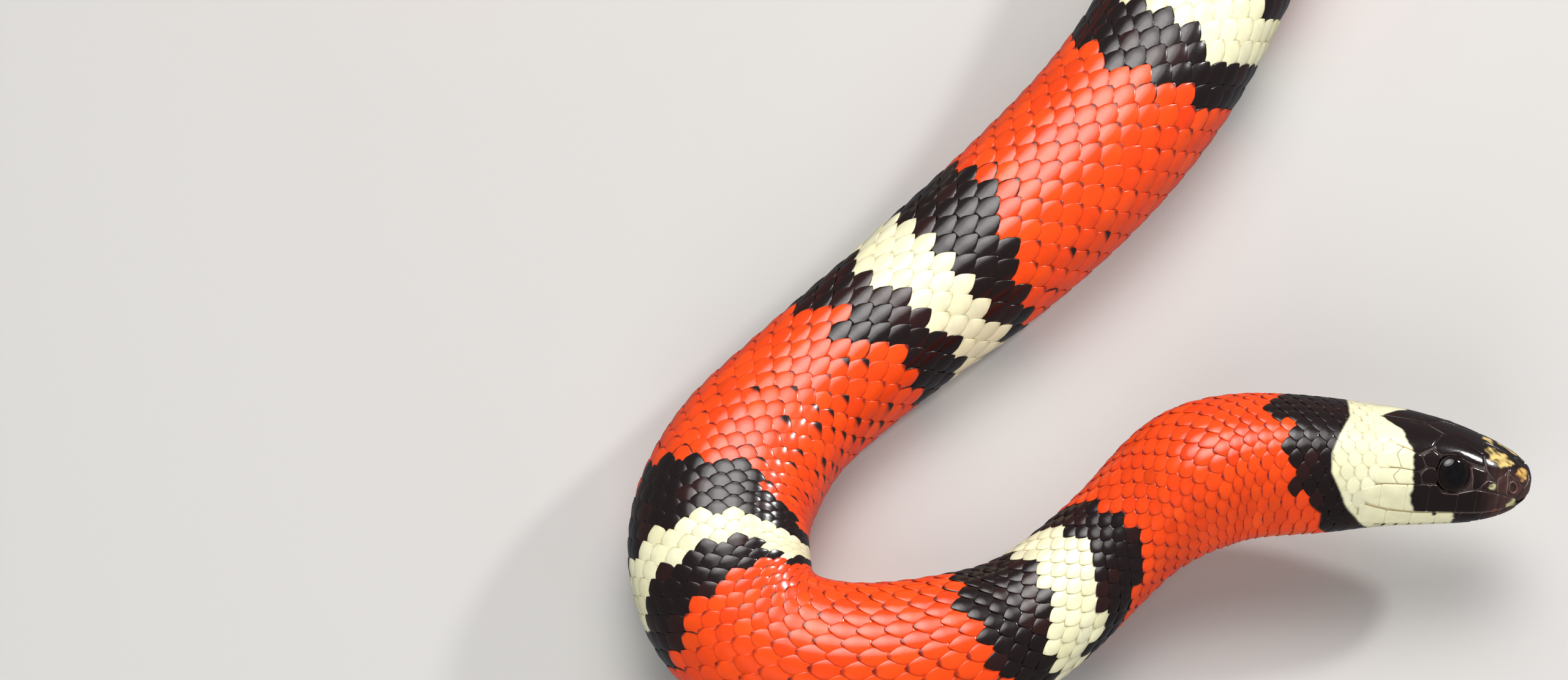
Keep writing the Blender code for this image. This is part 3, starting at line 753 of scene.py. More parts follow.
def build_skin(material):
    """One skin from snout to tail, under the shields, scales and plates, with the same markings."""
    places = skin_places()
    ring = np.arange(SKIN_SIDES)
    place, degrees = np.meshgrid(places, ring * 360.0 / SKIN_SIDES - 180.0, indexing="ij")
    points = lifted(place, degrees, -skin_depth(place, degrees))
    kind = kind_at(place, degrees)
    tint = KINDS[kind] * np.array((1.0, 0.8, 0.85))[kind][..., None]
    tint[(place < HEAD_END) & (kind == 0)] = HEAD_SKIN
    tint[(place < HEAD_END) & (kind == 2)] *= (1.0, 0.93, 0.92)
    ends = np.stack([at_place(POINTS, 0.0), at_place(POINTS, PLACES[-1])])
    points = np.concatenate([points.reshape(-1, 3), ends])
    tint = np.concatenate([tint.reshape(-1, 3), [SNOUT_TIP, BLACK]])
    total = place.size
    quads = ring_faces(len(places), SKIN_SIDES)[:, [0, 3, 2, 1]]
    nose = fan_faces(0, SKIN_SIDES, total)[:, [2, 0, 1]]
    tail = fan_faces(total - SKIN_SIDES, SKIN_SIDES, total + 1)[:, [1, 0, 2]]
    i, j = np.divmod(quads[:, :1], SKIN_SIDES)
    uv = np.concatenate([
        strip_uv(places[i + (0, 1, 1, 0)], j + (0, 0, 1, 1)),
        strip_uv(np.zeros((SKIN_SIDES, 3)), ring[:, None] + (0, 0, 1)),
        strip_uv(np.full((SKIN_SIDES, 3), PLACES[-1]), ring[:, None] + (1, 0, 0)),
    ])
    flesh = ["head", "lower_jaw", "neck", "tail", "tail_tip"] + ["body_%02d" % n for n in range(1, 12)]
    build("skin", points, [quads, nose, tail], tint, uv, material, flesh)


def outline(q):
    """Half width of a scale in row steps. q is 0 at the tip, 1 where it is widest and 2 at the root."""
    return np.maximum(WIDEST * (1 - (1 - np.clip(q, 0, 1)) ** 1.25) ** 0.8, 0.04)


def scale_form(lengths, shares):
    """One scale as a closed plate: length and share across of each point, drop, rim and quads."""
    q, v = np.meshgrid(lengths, shares, indexing="ij")
    rows, columns = q.shape
    count = rows * columns
    side = np.abs(v)
    drop = RIM_DROP * (side > 0.99) + NEAR_RIM_DROP * ((side > 0.85) & (side < 0.99))
    drop = np.maximum(drop, RIM_DROP * (q < 0.001) + NEAR_RIM_DROP * ((q > 0.001) & (q < 0.10)))
    rim = (side > 0.99) | (q < 0.001)
    # The edge runs from the root round the tip and back to the root, and is there a second time lower down.
    edge = np.concatenate([
        np.arange(rows - 1, 0, -1) * columns,
        np.arange(columns),
        np.arange(1, rows) * columns + columns - 1,
    ])
    low = count + np.arange(len(edge))
    wall = np.stack([edge[:-1], low[:-1], low[1:], edge[1:]], axis=1)
    last = np.arange(count - columns, count - 1)
    root = np.stack([last, last + 1, np.full_like(last, low[-1]), np.full_like(last, low[0])], axis=1)
    k = np.arange(len(edge) // 2 - 1)
    under = np.stack([low[k], low[-1 - k], low[-2 - k], low[k + 1]], axis=1)
    whole = np.concatenate([np.arange(count), edge])
    drop = np.concatenate([drop.ravel(), np.full(len(edge), THICK)])
    faces = np.concatenate([grid_faces(rows, columns), wall, root, under])
    return q.ravel()[whole], v.ravel()[whole], drop, rim.ravel()[whole], faces


# Points along and across one scale: most where colours change within scales, fewest on the coils.
FINE = (
    (0.0, 0.07, 0.16, 0.34, 0.6, 1.0, 1.35, 1.7, 2.0),
    (-1.0, -0.9, -0.7, -0.36, 0.0, 0.36, 0.7, 0.9, 1.0),
)
DENSE = (
    (0.0, 0.06, 0.12, 0.18, 0.26, 0.34, 0.43, 0.52, 0.62, 0.74, 0.87, 1.0, 1.1, 1.2, 1.32, 1.45, 1.6, 2.0),
    (
        -1.0, -0.92, -0.83, -0.7, -0.56, -0.42, -0.28, -0.14, 0.0, 0.14, 0.28, 0.42, 0.56, 0.7, 0.83, 0.92,
        1.0,
    ),
)
PLAIN = ((0.0, 0.09, 0.3, 0.62, 1.0, 1.5, 2.0), (-1.0, -0.88, -0.45, 0.0, 0.45, 0.88, 1.0))
# Rows that hold scales, counted from the middle of the back.
FIRST_ROW = -13
LAST_ROW = 14


def lattice(start, end):
    """Scales with tips between two places: phase of the tip, row, and place and angle of the middle."""
    steps = np.arange(int(phase_of(start)), int(phase_of(end)) + 1)
    rows, steps = np.meshgrid(np.arange(FIRST_ROW, LAST_ROW + 1), steps, indexing="ij")
    phases = (steps + 0.5 * (rows % 2)).ravel()
    rows = rows.ravel().astype(float)
    tip = place_at(phases)
    middle = place_at(phases - 0.5)
    share = row_share(middle, rows)
    degrees = angle_at(middle, share)
    throat = (middle < BELLY_FROM + 1.5) & (np.abs(share) < 0.985)
    keep = (np.abs(rows) + 0.38 < 0.5 * through(ROWS, tip)) | throat
    keep &= (tip > start) & (tip <= end) & (tip < PLACES[-1] - 1.0)
    keep &= middle > between(SCALES_FROM, np.abs(degrees))
    return phases[keep], rows[keep], middle[keep], degrees[keep]


def from_tip(q):
    """Length from the tip of a scale in row steps."""
    return np.where(q < 1, q * TIP_LENGTH, TIP_LENGTH + (q - 1) * (ROOT_AT - TIP_LENGTH))


def scale_tints(kind, draw, q, v, rim, middle, degrees):
    """Colour of every point of every scale: its kind, its own shade, and darker or paler rims and tips."""
    count = len(kind)
    base = KINDS[kind] * (1 + 0.045 * draw.normal(size=(count, 1)))
    warm = draw.normal(size=count)
    red, black, cream = kind == 1, kind == 0, kind == 2
    base[red] *= 1 + 0.09 * warm[red, None] * np.array((0.2, 1.0, 0.5))
    base[cream] *= 1 + 0.05 * warm[cream, None] * np.array((0.3, 0.4, 1.0))
    stained = black & (draw.random(count) < STAINED)
    base[stained] = base[stained] * (1.9, 1.2, 1.1)
    tint = np.repeat(base[:, None, :], len(q), axis=1)
    r = np.abs(v) * outline(q)
    seam = np.maximum(ramp(r, 0.52, 0.68), rim)[None, :]
    away = np.hypot(from_tip(q), 0.42 * r)[None, :]
    # Red: a dark apex, darker seams, and a larger black spot on a few, most of them inside the left bend.
    inner = (middle > 136) & (middle < 168) & (degrees > 10) & (degrees < 100)
    strength = np.where(draw.random(count) < DARK_TIPPED, draw.uniform(0.55, 0.95, count), 0.15)
    reach = draw.uniform(0.10, 0.17, count)
    spotted = draw.random(count) < np.where(inner, SPOTTED_INSIDE, SPOTTED)
    spot = np.where(spotted, draw.uniform(0.24, 0.42, count), 0.0)
    dark = np.where((middle < NECK_END)[:, None, None], NECK_TIP, RED_TIP)
    tint = mixed(tint, RED_SEAM, 0.45 * seam * red[:, None])
    apex = strength[:, None] * smooth((reach[:, None] - away) / 0.08 + 0.5)
    tint = mixed(tint, dark, apex * red[:, None])
    tint = mixed(tint, np.array(BLACK) * 1.5, smooth((spot[:, None] - away) / 0.06) * red[:, None])
    # Cream: tan seams, deepest at the tip.
    amount = np.maximum(0.5 * seam, 0.5 * ramp(away, 0.2, 0.0)) * draw.uniform(0.6, 1.0, count)[:, None]
    tint = mixed(tint, CREAM_SEAM, amount * cream[:, None])
    # Black: browner seams.
    tint = mixed(tint, BLACK_SEAM, 0.5 * seam * black[:, None])
    return np.clip(tint, 0.002, 0.95)


def rimmed(kind, draw, middle, degrees):
    """Scales beside a black ring whose rim is black round a red middle."""
    pitch = through(PITCH, middle)
    before = kind_at(middle - pitch * 0.9, degrees)
    after = kind_at(middle + pitch * 0.9, degrees)
    beside = (kind == 1) & ((before == 0) | (after == 0))
    return beside & (draw.random(len(kind)) < RIMMED)


def scale_patches(phases, rows, t, v):
    """Each scale's own patch, at its place on the skin unrolled in strips."""
    rows_wide = 30
    steps = phases - phases.min()
    strips = max(1, int(round(math.sqrt((steps.max() + 1) * 1.7 / rows_wide))))
    long = math.ceil((steps.max() + 1) / strips)
    level = np.floor(steps / long)
    u = (steps - level * long + 0.12) / (long + 0.5)
    w = (level * rows_wide + rows + 14.15) / (strips * rows_wide)
    along = u[:, None] + PATCH_LONG * (1 - t / ROOT_AT) / (long + 0.5)
    across = w[:, None] + PATCH_WIDE * (1 + v) / (strips * rows_wide)
    return np.stack([along, across], axis=-1)


def scale_sizes(phases, rows, middle, degrees):
    """Size of each scale against a full one, and how flat it lies where scales are small or crowded."""
    length = through(PITCH, middle)
    long = skin(place_at(phases + 0.5), degrees) - skin(place_at(phases - 0.5), degrees)
    left, right = (skin(middle, angle_at(middle, row_share(middle, rows + by))) for by in (-0.5, 0.5))
    wide = np.linalg.norm(right - left, axis=1)
    size = 0.5 * np.minimum(length / FULL_PITCH, 1.0) + 0.5 * np.minimum(wide / FULL_WIDTH, 1.0)
    squeezed = np.clip(np.linalg.norm(long, axis=1) / length, 0.3, 1.0)
    return size[:, None], ((0.25 + 0.75 * ramp(middle, 24.0, 38.0)) * squeezed)[:, None]


def build_scales(name, start, end, form, material, seed):
    """One piece of the coat: the small scales whose tips lie between two places."""
    draw = np.random.default_rng(seed)
    phases, rows, middle, degrees = lattice(start, end)
    q, v, drop, rim, faces = scale_form(*form)
    count = len(phases)
    size, flat = scale_sizes(phases, rows, middle, degrees)
    turn = draw.normal(0, TURN_SPREAD, (count, 1))
    t, width = from_tip(q), outline(q)
    place = place_at(phases[:, None] + draw.normal(0, SLIDE_SPREAD, (count, 1)) - t)
    degrees_each = angle_at(place, row_share(place, rows[:, None] + v * width + turn * (t - 0.5)))
    # Heights: the first scales lie over the shields' rims, and those of the neck are a little puffy.
    lift = FIRST_LIFT * ramp(middle, 32.0, 20.0)[:, None]
    puffy = (ramp(middle, 25.0, 34.0) * ramp(middle, 120.0, 85.0))[:, None]
    height = -RISE * t - CROWN * (1 + 0.25 * puffy) * (v * width) ** 2
    height = height - TIP_DROP * (1 + 0.2 * puffy) * ramp(t, 0.42, 0.0) - 0.06 * puffy * ramp(t, 0.4, 1.0)
    height = height * size * flat - drop * (0.4 + 0.6 * size) * (0.4 + 0.6 * flat) + lift
    height = height + draw.normal(0, TILT_SPREAD, (count, 1)) * (1 - t) + RAISED * size
    points = lifted(place, degrees_each, np.minimum(height, lift + 0.02))
    kind = kind_at(middle + draw.normal(0, EDGE_SPREAD, count) * through(PITCH, middle), degrees)
    tint = scale_tints(kind, draw, q, v, rim, middle, degrees)
    # On the collar, the edges between colours also run across scales.
    soft = colour_at(place, degrees_each)
    across = (middle < COLLAR_END)[:, None] & (np.abs(soft - KINDS[kind][:, None, :]).max(axis=-1) > 0.03)
    tint[across] = soft[across]
    edged = (rimmed(kind, draw, middle, degrees) & (middle > COLLAR_END))[:, None]
    tint[edged & (np.maximum(np.abs(v), 1 - q / 1.2) > 0.72) & (q < 1.5)] = np.array(BLACK) * 1.6
    build(name, points, [repeated(faces, len(q), count)], tint, scale_patches(phases, rows, t, v), material)


def build_belly(material):
    """Broad plates across the belly and under the tail."""
    draw = np.random.default_rng(5)
    root = 1.12
    shares = np.concatenate([[-1.0, -0.97], np.linspace(-0.9, 0.9, 21), [0.97, 1.0]])
    t, v, drop, rim, faces = scale_form(np.array((0.0, 0.04, 0.12, 0.35, 0.7, root)), shares)
    tips = np.arange(int(phase_of(BELLY_FROM)) + 1, int(phase_of(PLACES[-1] - 2.0)) + 1, dtype=float)
    count = len(tips)
    side = np.abs(v)
    curve = 0.32 * side ** 3 + 0.12 * ((side > 0.95) & (t < 0.1))
    place = place_at(tips[:, None] + 0.2 - t - curve)
    degrees = angle_at(place, np.sign(v + 1e-9) * (1 - side * (1 - DORSAL + 0.022)))
    middle = place_at(tips - 0.3)[:, None]
    size = np.minimum(through(PITCH, middle) / FULL_PITCH, 1.0)
    height = (-0.30 * t - 0.05) * size - drop * (0.4 + 0.6 * size) * 0.8 - 0.10 * size * (side > 0.93)
    points = lifted(place, degrees, height)
    kind = kind_at(middle + draw.normal(0, 0.12, (count, 1)), degrees)
    tint = KINDS[kind] * (1 + 0.06 * draw.normal(size=(count, 1, 1)))
    paler = np.array(((1.6, 1.4, 1.3), (0.95, 1.9, 4.0), (1.05, 1.08, 1.35)))[kind]
    tint = np.clip(tint * paler, 0.003, 0.92)
    tint = np.where((rim & (t < 0.001))[None, :, None], tint * 0.6, tint)
    strips = 4
    long = math.ceil(count / strips)
    level, step = np.divmod(np.arange(count)[:, None], long)
    uv = np.stack([(step + 0.1 + 0.8 * (1 - t / root)) / long, (level + 0.5 + 0.47 * v) / strips], axis=-1)
    build("belly_plates", points, [repeated(faces, len(t), count)], tint, uv, material)


# Head shields: a shield's rim as (distance inwards, height), swell of its middle, how far it is drawn in,
# which is a little outwards, spacing of the points along its rim, and width of the rings inside it.
PLATE_RIM = ((0.0, -0.45), (0.0, 0.10), (0.05, 0.155), (0.11, 0.2))
PLATE_CROWN = 0.05
PLATE_SEAM = -0.02
PLATE_SPACING = 0.13
PLATE_RINGS = 0.19
# How deep a shield's rim goes beside the eye, and the shield itself at the nostril's pit.
UNDER_EYE = 1.2
UNDER_PIT = 0.70
# Length of the head on its patches.
HEAD_PATCHES = 27.0


def drawn_in(flat, by):
    """A closed outline moved inwards by a distance."""
    area = 0.5 * np.sum(flat[:, 0] * np.roll(flat[:, 1], -1) - np.roll(flat[:, 0], -1) * flat[:, 1])
    if area < 0:
        flat = flat[::-1]
    ahead = unit(np.roll(flat, -1, axis=0) - flat)
    after = np.stack([-ahead[:, 1], ahead[:, 0]], axis=1)
    both = np.roll(after, 1, axis=0) + after
    length = np.maximum((both * after).sum(axis=1), 0.35)
    return flat + both * (by / length)[:, None]


def resampled(flat, spacing, rounds):
    """A closed outline divided evenly, with its corners rounded."""
    pieces = []
    for a, b in zip(flat, np.roll(flat, -1, axis=0)):
        count = max(2, int(np.linalg.norm(b - a) / spacing))
        pieces.append(a + (b - a) * (np.arange(count) / count)[:, None])
    line = np.concatenate(pieces)
    for _ in range(rounds):
        line = (np.roll(line, 1, axis=0) + 2 * line + np.roll(line, -1, axis=0)) / 4
    return line


def kept_from_eye(place, degrees, side, reach):
    """Moves points that lie over an eye out to its rim."""
    for _ in range(4):
        near = from_eye(skin(place, degrees), side)
        push = np.where(near < reach, reach / np.maximum(near, 0.2), 1.0)
        place = EYE_AT + (place - EYE_AT) * push
        degrees = EYE_ANGLE * side + (degrees - EYE_ANGLE * side) * push
    return place, degrees


# Pale patches of the snout: place, degrees round from the top, half length, half width, slant and colour.
SNOUT_PATCHES = (
    (5.1, -21, 2.1, 1.5, 0.15, STRAW), (6.5, 11, 0.9, 0.9, 0.3, STRAW), (3.9, 20, 1.8, 0.6, 0.2, STRAW),
    (5.4, 36, 1.1, 0.7, -0.2, STRAW), (1.75, -36, 0.9, 1.4, 0.3, TAN), (1.8, 34, 0.7, 1.0, -0.3, TAN),
    (6.1, -75, 0.62, 0.52, 0.0, PALE_GREEN), (6.1, 75, 0.62, 0.52, 0.0, PALE_GREEN),
    (3.1, -108, 0.95, 0.8, 0.5, PALE_GREEN), (3.2, 110, 0.9, 0.75, -0.5, PALE_GREEN),
    (5.4, -112, 0.5, 0.35, 0.0, RUST), (5.6, 112, 0.5, 0.35, 0.0, RUST),
)


def head_tint(place, degrees):
    """Colour of points on the head: black, mottled snout, cream from the collar forward under the jaw."""
    waved = place + 0.10 * np.sin(degrees * 0.31 + 0.7) + 0.05 * np.sin(degrees * 0.83 + place)
    kind = kind_at(waved, degrees)
    front = ramp(place, 8.5, 4.0) * ramp(np.abs(degrees), 25, 65)
    ripple = 0.75 + 0.25 * np.sin(place * 4.3 + degrees * 0.13) * np.sin(place * 1.7 - degrees * 0.09)
    tint = mixed(colour_at(waved, degrees), BROWN, (kind == 0) * front * ripple)
    for at, turn, long, wide, slant, colour in SNOUT_PATCHES:
        along, across = place - at, (degrees - turn) * per_degree(at)
        reach = np.hypot((along + slant * across) / long, (across - slant * along) / wide)
        ripple = 0.18 * np.sin(along * 2.9 + across * 3.1) + 0.10 * np.sin(along * 5.1 - across * 4.9)
        streaks = np.sin(across * 5.0 - along * 1.3 + 1.5 * np.sin(along * 2.1 + turn))
        streaks = streaks + 0.5 * np.sin(along * 3.7 + across)
        inside = smooth((1.05 + ripple - reach) / 0.4) * (1 - 0.7 * ramp(streaks, 0.75, 1.15)) * (kind == 0)
        own = np.array(colour) * (1 + 0.2 * np.sin(along * 2.6 + across * 3.4))[..., None]
        tint = mixed(tint, own, inside)
    # One dark nick in the pale lower lip.
    nick = np.hypot((place - 14.0) / 0.35, (np.abs(degrees) - 105.5) / 4.0)
    return mixed(tint, np.array(BLACK) * 2, smooth((1.1 - nick) / 0.3) * (kind == 2))


def head_patches(place, degrees):
    """Patch places of points on the head."""
    return np.stack([0.01 + 0.98 * place / HEAD_PATCHES, 0.5 + degrees / 361.0], axis=-1).reshape(-1, 2)


def plate_rings(corners):
    """A shield in the flat: rings of points and its middle, their heights, and the points of a ring."""
    line = resampled(drawn_in(corners, PLATE_SEAM), PLATE_SPACING, 6)
    middle = line.mean(axis=0)
    away = line - middle
    reach = np.linalg.norm(away, axis=1)[:, None]
    rings = [line - away / reach * by for by, _ in PLATE_RIM]
    heights = [high for _, high in PLATE_RIM]
    raised = heights[-1]
    inner = rings[-1] - middle
    steps = max(2, int(reach.mean() / PLATE_RINGS))
    for k in range(1, steps):
        share = 1 - k / steps
        rings.append(middle + inner * share)
        heights.append(raised + PLATE_CROWN * (1 - share ** 2))
    heights = np.append(np.repeat(heights, len(line)), raised + PLATE_CROWN)
    return np.concatenate(rings + [middle[None]]), heights, len(line)


def plate(corners, side):
    """One shield: points, faces, colours and patch places."""
    corners = np.array(corners, float)
    girth = per_degree(corners[:, 0].mean())
    flat, heights, around = plate_rings(corners * (1.0, girth))
    place, degrees = flat[:, 0], flat[:, 1] / girth * side
    near_along, near_around = 6.5, 45
    if abs(place[-1] - EYE_AT) < near_along and abs(flat[-1, 1] / girth - EYE_ANGLE) < near_around:
        place, degrees = kept_from_eye(place, degrees, side, EYE_RADIUS + EYE_GAP)
        close = from_eye(skin(place, degrees), side) < EYE_RADIUS + 0.6
        heights = np.where((heights < 0) & close, -UNDER_EYE, heights)
    nostril = skin([NOSTRIL_AT], [NOSTRIL_ANGLE * side])[0]
    pit = np.linalg.norm(skin(place, degrees) - nostril, axis=1) < PIT_RADIUS
    heights = np.where(pit, np.minimum(heights, -UNDER_PIT), heights)
    total = len(flat) - 1
    faces = [ring_faces(total // around, around), fan_faces(total - around, around, total)]
    if side > 0:
        # An outline that runs anticlockwise in the flat faces inwards on the left side.
        faces = [some[:, ::-1] for some in faces]
    tint = head_tint(place, degrees)
    side_seam = ramp(np.abs(degrees), 24, 34) * ramp(place, 19.0, 15.0)
    seam = mixed(np.array(SHIELD_SEAM), SIDE_SEAM, side_seam)
    paler = np.where(tint.mean(axis=1, keepdims=True) > 0.2, PALE_SEAM, seam)
    rim = np.arange(len(flat)) // around == 1
    tint = mixed(tint, paler, 0.75 * rim)
    return lifted(place, degrees, heights), faces, tint, head_patches(place, degrees)


def head_outlines():
    """Outlines of all shields and the side that each is for."""
    frontal = ((7.4, -26), (7.4, 26), (10.4, 16.5), (13.4, 10.5), (15.8, 0), (13.4, -10.5), (10.4, -16.5))
    found = [(corners, side) for corners in PAIRED_SHIELDS.values() for side in (-1, 1)]
    found.append((frontal, 1))
    return found + [(corners, side) for corners in lip_outlines() + list(CHIN_SHIELDS) for side in (-1, 1)]


# Front and back of the shields at the tips of the snout and the chin: (degrees round from the top, place).
SNOUT_FRONT = ((0, 0.03), (180, 0.03))
SNOUT_BACK = (
    (0, 1.25), (24, 0.85), (50, 0.75), (73, 1.0), (90, 1.6), (104, 2.1), (112, 2.15), (117, 0.75),
    (124, 0.5), (135, 0.4), (180, 0.34),
)
CHIN_FRONT = ((120, 1.1), (124, 0.72), (132, 0.58), (150, 0.5), (180, 0.46))
CHIN_BACK = ((120, 2.1), (136, 2.1), (150, 2.6), (180, 2.7))
# Strips of such a shield from its front to its rim: (share of its length, height).
TIP_STRIPS = (
    (0.0, 0.17), (0.1, 0.17), (0.25, 0.17), (0.42, 0.17), (0.6, 0.16), (0.78, 0.15), (0.9, 0.13),
    (0.96, 0.09), (1.0, 0.02), (1.0, -0.43),
)


def tip_plate(angles, front, back, dips):
    """The shield at the tip of the snout or the chin. Its first strips dip."""
    share, high = np.array(TIP_STRIPS).T
    high[:len(dips)] -= dips
    below = 180 - np.abs(180 - np.abs(angles))
    start, end = between(front, below), between(back, below)
    place = start + share[:, None] * (end - 0.06 - start)
    degrees = np.broadcast_to(angles, place.shape)
    points = lifted(place, degrees, np.broadcast_to(high[:, None], place.shape))
    rim = np.broadcast_to(share[:, None] > 0.95, place.shape)
    tint = mixed(head_tint(place, degrees), TIP_SEAM, 0.6 * rim)
    faces = [grid_faces(*place.shape)]
    return points.reshape(-1, 3), faces, tint.reshape(-1, 3), head_patches(place, degrees)


# Nostril: rings from its rim into the pit as (radius, height, colour), its stretch along and across, and the
# bottom of the pit. The colours of the inner rings and of the bottom darken to near black: painted shade of
# the opening.
NOSTRIL_RINGS = (
    (0.98, 0.05, (0.075, 0.042, 0.038)), (0.93, 0.17, (0.075, 0.042, 0.038)),
    (0.84, 0.225, (0.13, 0.085, 0.078)), (0.74, 0.22, (0.13, 0.085, 0.078)),
    (0.66, 0.13, (0.12, 0.04, 0.028)), (0.59, -0.04, (0.10, 0.016, 0.009)),
    (0.50, -0.4, (0.05, 0.006, 0.004)), (0.2, -0.58, (0.02, 0.003, 0.002)),
)
NOSTRIL_STRETCH = (1.1, 0.78)
PIT_DEPTH = 0.51
PIT_SHADE = (0.006, 0.002, 0.002)
NOSTRIL_POINTS = 28


def nostril_bowl(side):
    """The nostril: a low rim round a pit, with painted shade darkening it towards the bottom."""
    centre, first, second, outward = frame_on_skin(NOSTRIL_AT, NOSTRIL_ANGLE * side)
    turn = turns(NOSTRIL_POINTS)[:, None]
    across = np.cos(turn) * first * NOSTRIL_STRETCH[0] + np.sin(turn) * second * NOSTRIL_STRETCH[1]
    points = [centre + outward * high + radius * across for radius, high, _ in NOSTRIL_RINGS]
    points = np.concatenate(points + [(centre - outward * PIT_DEPTH)[None]])
    # Painted shade: the inner rings and the bottom of the pit darken towards near black.
    colours = [colour for _, _, colour in NOSTRIL_RINGS]
    tint = np.concatenate([np.repeat(colours, len(turn), axis=0), [PIT_SHADE]])
    total = len(points) - 1
    faces = [ring_faces(len(NOSTRIL_RINGS), len(turn)), fan_faces(total - len(turn), len(turn), total)]
    away = points - centre
    uv = (0.985, 0.5 + side * 0.45) + 0.006 * np.stack([away @ first, away @ second], axis=1)
    return points, faces, tint, uv


# Ring of skin round the eye: points along and about it, half its thickness across and up, and its lift.
EYE_RING_TURNS = 72
EYE_RING_ABOUT = 10
EYE_RING_WIDE = 0.07
EYE_RING_HIGH = 0.10
EYE_RING_LIFT = 0.06


def eye_ring(side):
    """The narrow ring of skin round the eye, as high as the skin is at each turn."""
    centre, first, second, outward = EYES[side]
    turn = turns(EYE_RING_TURNS)
    about = turns(EYE_RING_ABOUT)[None, :, None]
    out = np.cos(turn)[:, None] * first + np.sin(turn)[:, None] * second
    places = np.linspace(EYE_AT - 3.6, EYE_AT + 3.6, 41)
    angles = np.linspace(EYE_ANGLE - 36, EYE_ANGLE + 36, 49) * side
    away = skin(*np.meshgrid(places, angles, indexing="ij")).reshape(-1, 3) - centre
    high = away @ outward
    across = away - high[:, None] * outward
    rim = out * (EYE_RADIUS + 0.05)
    base = np.array([high[np.linalg.norm(across - at, axis=1).argmin()] for at in rim])
    base = np.convolve(np.concatenate([base[-6:], base, base[:6]]), np.ones(9) / 9, mode="same")[6:-6]
    points = centre + out[:, None] * (EYE_RADIUS - 0.02 + EYE_RING_WIDE * np.cos(about))
    points = points + outward * (base[:, None, None] + EYE_RING_LIFT + EYE_RING_HIGH * np.sin(about))
    points = points.reshape(-1, 3)
    tint = np.tile(EYE_RING, (len(points), 1))
    row, column = np.divmod(np.arange(len(points)), EYE_RING_ABOUT)
    column = 0.96 + 0.012 * column / EYE_RING_ABOUT
    uv = np.stack([column, 0.5 + side * 0.3 + 0.1 * row / EYE_RING_TURNS], axis=1)
    return points, [ring_faces(EYE_RING_TURNS, EYE_RING_ABOUT, closed=True)[:, ::-1]], tint, uv


def build_head(material):
    """All shields, the nostrils and the rings round the eyes, as one piece."""
    parts = [plate(corners, side) for corners, side in head_outlines()]
    parts.append(tip_plate(np.linspace(-180, 180, 91), SNOUT_FRONT, SNOUT_BACK, (0.08, 0.025)))
    parts.append(tip_plate(np.linspace(121, 239, 61), CHIN_FRONT, CHIN_BACK, (0.45, 0.07, 0.02)))
    parts += [nostril_bowl(side) for side in (-1, 1)]
    parts += [eye_ring(side) for side in (-1, 1)]
    faces, start = [], 0
    for points, some_faces, _, _ in parts:
        faces += [some + start for some in some_faces]
        start += len(points)
    points, tint, uv = (np.concatenate([part[k] for part in parts]) for k in (0, 2, 3))
    build("head_shields", points, faces, tint, uv, material)


def build_eye(name, side, material):
    """A smooth flattened ball with a round pupil in a nearly black iris."""
    centre, first, second, outward = EYES[side]
    polar, turn = np.meshgrid(np.linspace(0, math.pi, 41)[1:-1], turns(72), indexing="ij")
    ball = np.stack([np.sin(polar) * np.cos(turn), np.sin(polar) * np.sin(turn), np.cos(polar)], axis=-1)
    ball = np.concatenate([ball.reshape(-1, 3), [(0, 0, 1), (0, 0, -1)]])
    points = centre + ball * (BALL_RADIUS, BALL_RADIUS, BALL_THICK) @ np.stack([first, second, outward])
    rings, around = polar.shape
    faces = [
        ring_faces(rings, around)[:, ::-1],
        fan_faces(0, around, rings * around),
        fan_faces((rings - 1) * around, around, rings * around + 1)[:, ::-1],
    ]
    radius = np.hypot(ball[:, 0], ball[:, 1])
    iris = ramp(radius, 0.62, 0.68) * ramp(radius, 0.99, 0.91)
    tint = mixed(np.array(PUPIL), IRIS, iris)
    build(name, points, faces, tint, None, material, (name,))


# Floor: half its width and how far it lies under the part, in metres.
FLOOR_REACH = 3.0
FLOOR_DROP = 0.0003


def build_floor():
    """A plain pale floor that doesn't show in reflections."""
    mesh = bpy.data.meshes.new("floor")
    corners = ((-1, -1), (1, -1), (1, 1), (-1, 1))
    points = [(x * FLOOR_REACH, y * FLOOR_REACH, -FLOOR_DROP) for x, y in corners]
    mesh.from_pydata(points, [], [(0, 1, 2, 3)])
    floor = add_object("floor", mesh)
    material, surface, _ = new_material("floor")
    surface.inputs["Base Color"].default_value = (0.52, 0.51, 0.495, 1.0)
    surface.inputs["Roughness"].default_value = 0.75
    surface.inputs["Specular IOR Level"].default_value = 0.2
    mesh.materials.append(material)
    floor.visible_glossy = False


# The camera looks down at 60 degrees from 0.6 m, at the spot that the middle of the photo shows.
TARGET = (-0.038883, -0.086437, 0.0)
ELEVATION = 60.0
DISTANCE = 0.6
LENS = 92.8125
# Lights: name, direction, distance, size, power, colour and whether reflections show it. The overhead light
# is brighter in its middle. It and the spark show in the eye.
WARM = (1.0, 0.985, 0.97)
WHITE = (1.0, 1.0, 1.0)
LIGHTS = (
    ("overhead", (0.06, 0.36, 0.93), 0.9, 0.82, 5.9, WARM, True),
    ("overhead_middle", (0.06, 0.36, 0.93), 0.86, 0.4, 1.8, WARM, True),
    ("spark", (0.742, 0.366, 0.561), 0.9, 0.09, 3.6, WHITE, True),
    ("fill", (-0.15, -0.8, 0.58), 0.9, 0.6, 4.5, WHITE, False),
)


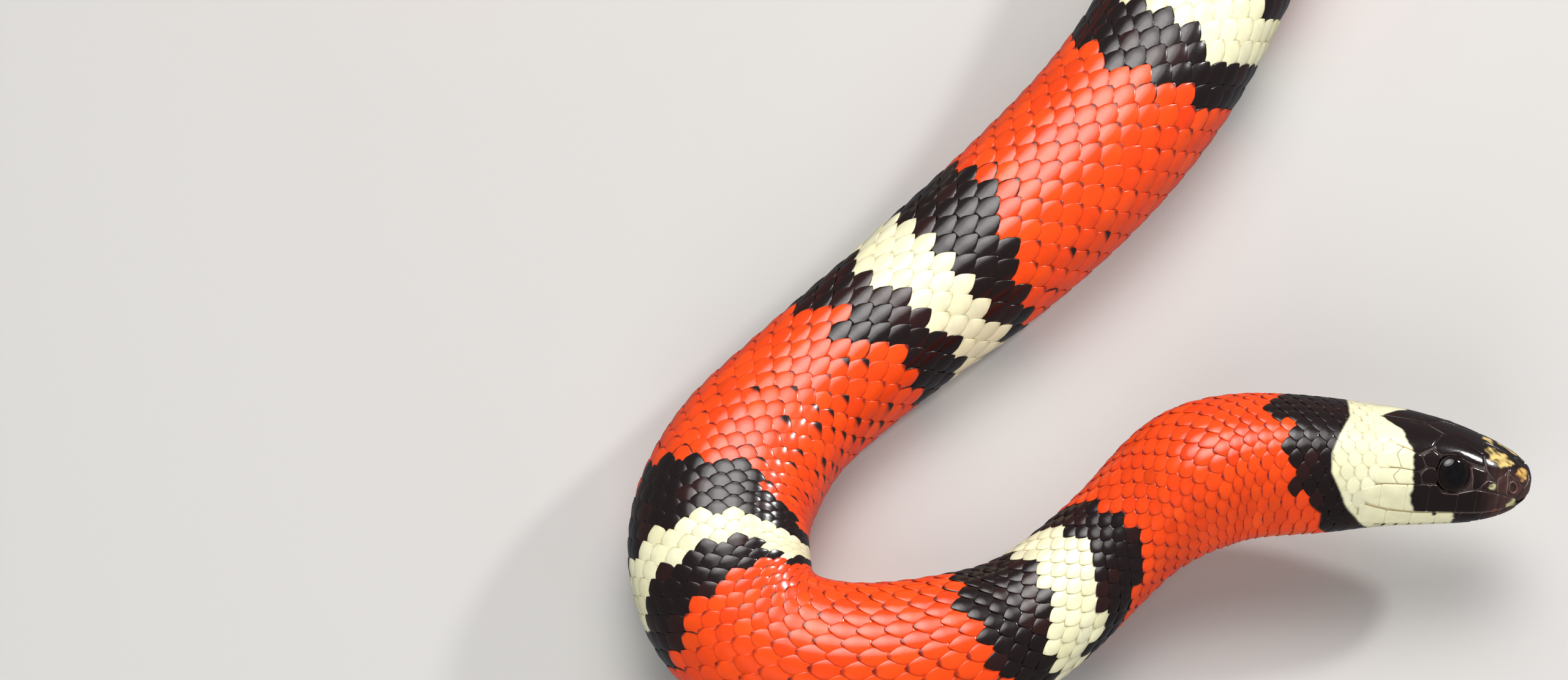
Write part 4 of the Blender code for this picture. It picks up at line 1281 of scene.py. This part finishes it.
def towards_target(obj, direction, distance):
    """Puts a camera or light at a distance from the target, facing it."""
    aim = unit(np.array(direction))
    obj.location = np.array(TARGET) + aim * distance
    obj.rotation_euler = (math.acos(aim[2]), 0.0, math.atan2(aim[1], aim[0]) + math.pi / 2)


def build_lights():
    for name, direction, distance, size, power, colour, shows in LIGHTS:
        light = bpy.data.lights.new(name, "AREA")
        light.shape = "DISK"
        light.size = size
        light.energy = power
        light.color = colour
        obj = add_object(name, light)
        towards_target(obj, direction, distance)
        obj.visible_glossy = shows
    world = bpy.data.worlds.new("studio")
    bpy.context.scene.world = world
    world.use_nodes = True
    background = world.node_tree.nodes["Background"]
    background.inputs["Color"].default_value = (0.92, 0.95, 1.0, 1.0)
    background.inputs["Strength"].default_value = 0.16


def build_camera():
    camera = bpy.data.cameras.new("camera")
    camera.lens = LENS
    camera.sensor_width = 36.0
    camera.clip_start = 0.01
    obj = add_object("camera", camera)
    lift = math.radians(ELEVATION)
    towards_target(obj, (0.0, -math.cos(lift), math.sin(lift)), DISTANCE)
    bpy.context.scene.camera = obj
    bpy.context.scene.view_settings.view_transform = "Standard"


# Materials: name, roughness, bump and grain of the mottling.
horn = coat_material("scales", 0.20, 0.12, 420.0)
shields = coat_material("shields", 0.13, 0.10, 600.0)
under = coat_material("skin", 0.45, 0.4, 500.0)
belly = coat_material("belly", 0.36, 0.25, 300.0)
eyes = eye_material()

# Pieces of the coat: first and last place, points of each scale, and seed of the random draws.
COAT = {
    "scales_collar": (9.0, 33.0, DENSE, 1),
    "scales_neck": (33.0, 118.0, FINE, 7),
    "scales_middle": (118.0, 262.0, FINE, 2),
    "scales_coils": (262.0, 520.0, PLAIN, 3),
    "scales_rear": (520.0, 770.0, PLAIN, 4),
    "scales_tail": (770.0, 985.0, PLAIN, 6),
}
build_skin(under)
build_head(shields)
for name, (start, end, form, seed) in COAT.items():
    build_scales(name, start, end, form, horn, seed)
build_belly(belly)
build_eye("eye_right", -1, eyes)
build_eye("eye_left", 1, eyes)
build_floor()
build_camera()
build_lights()
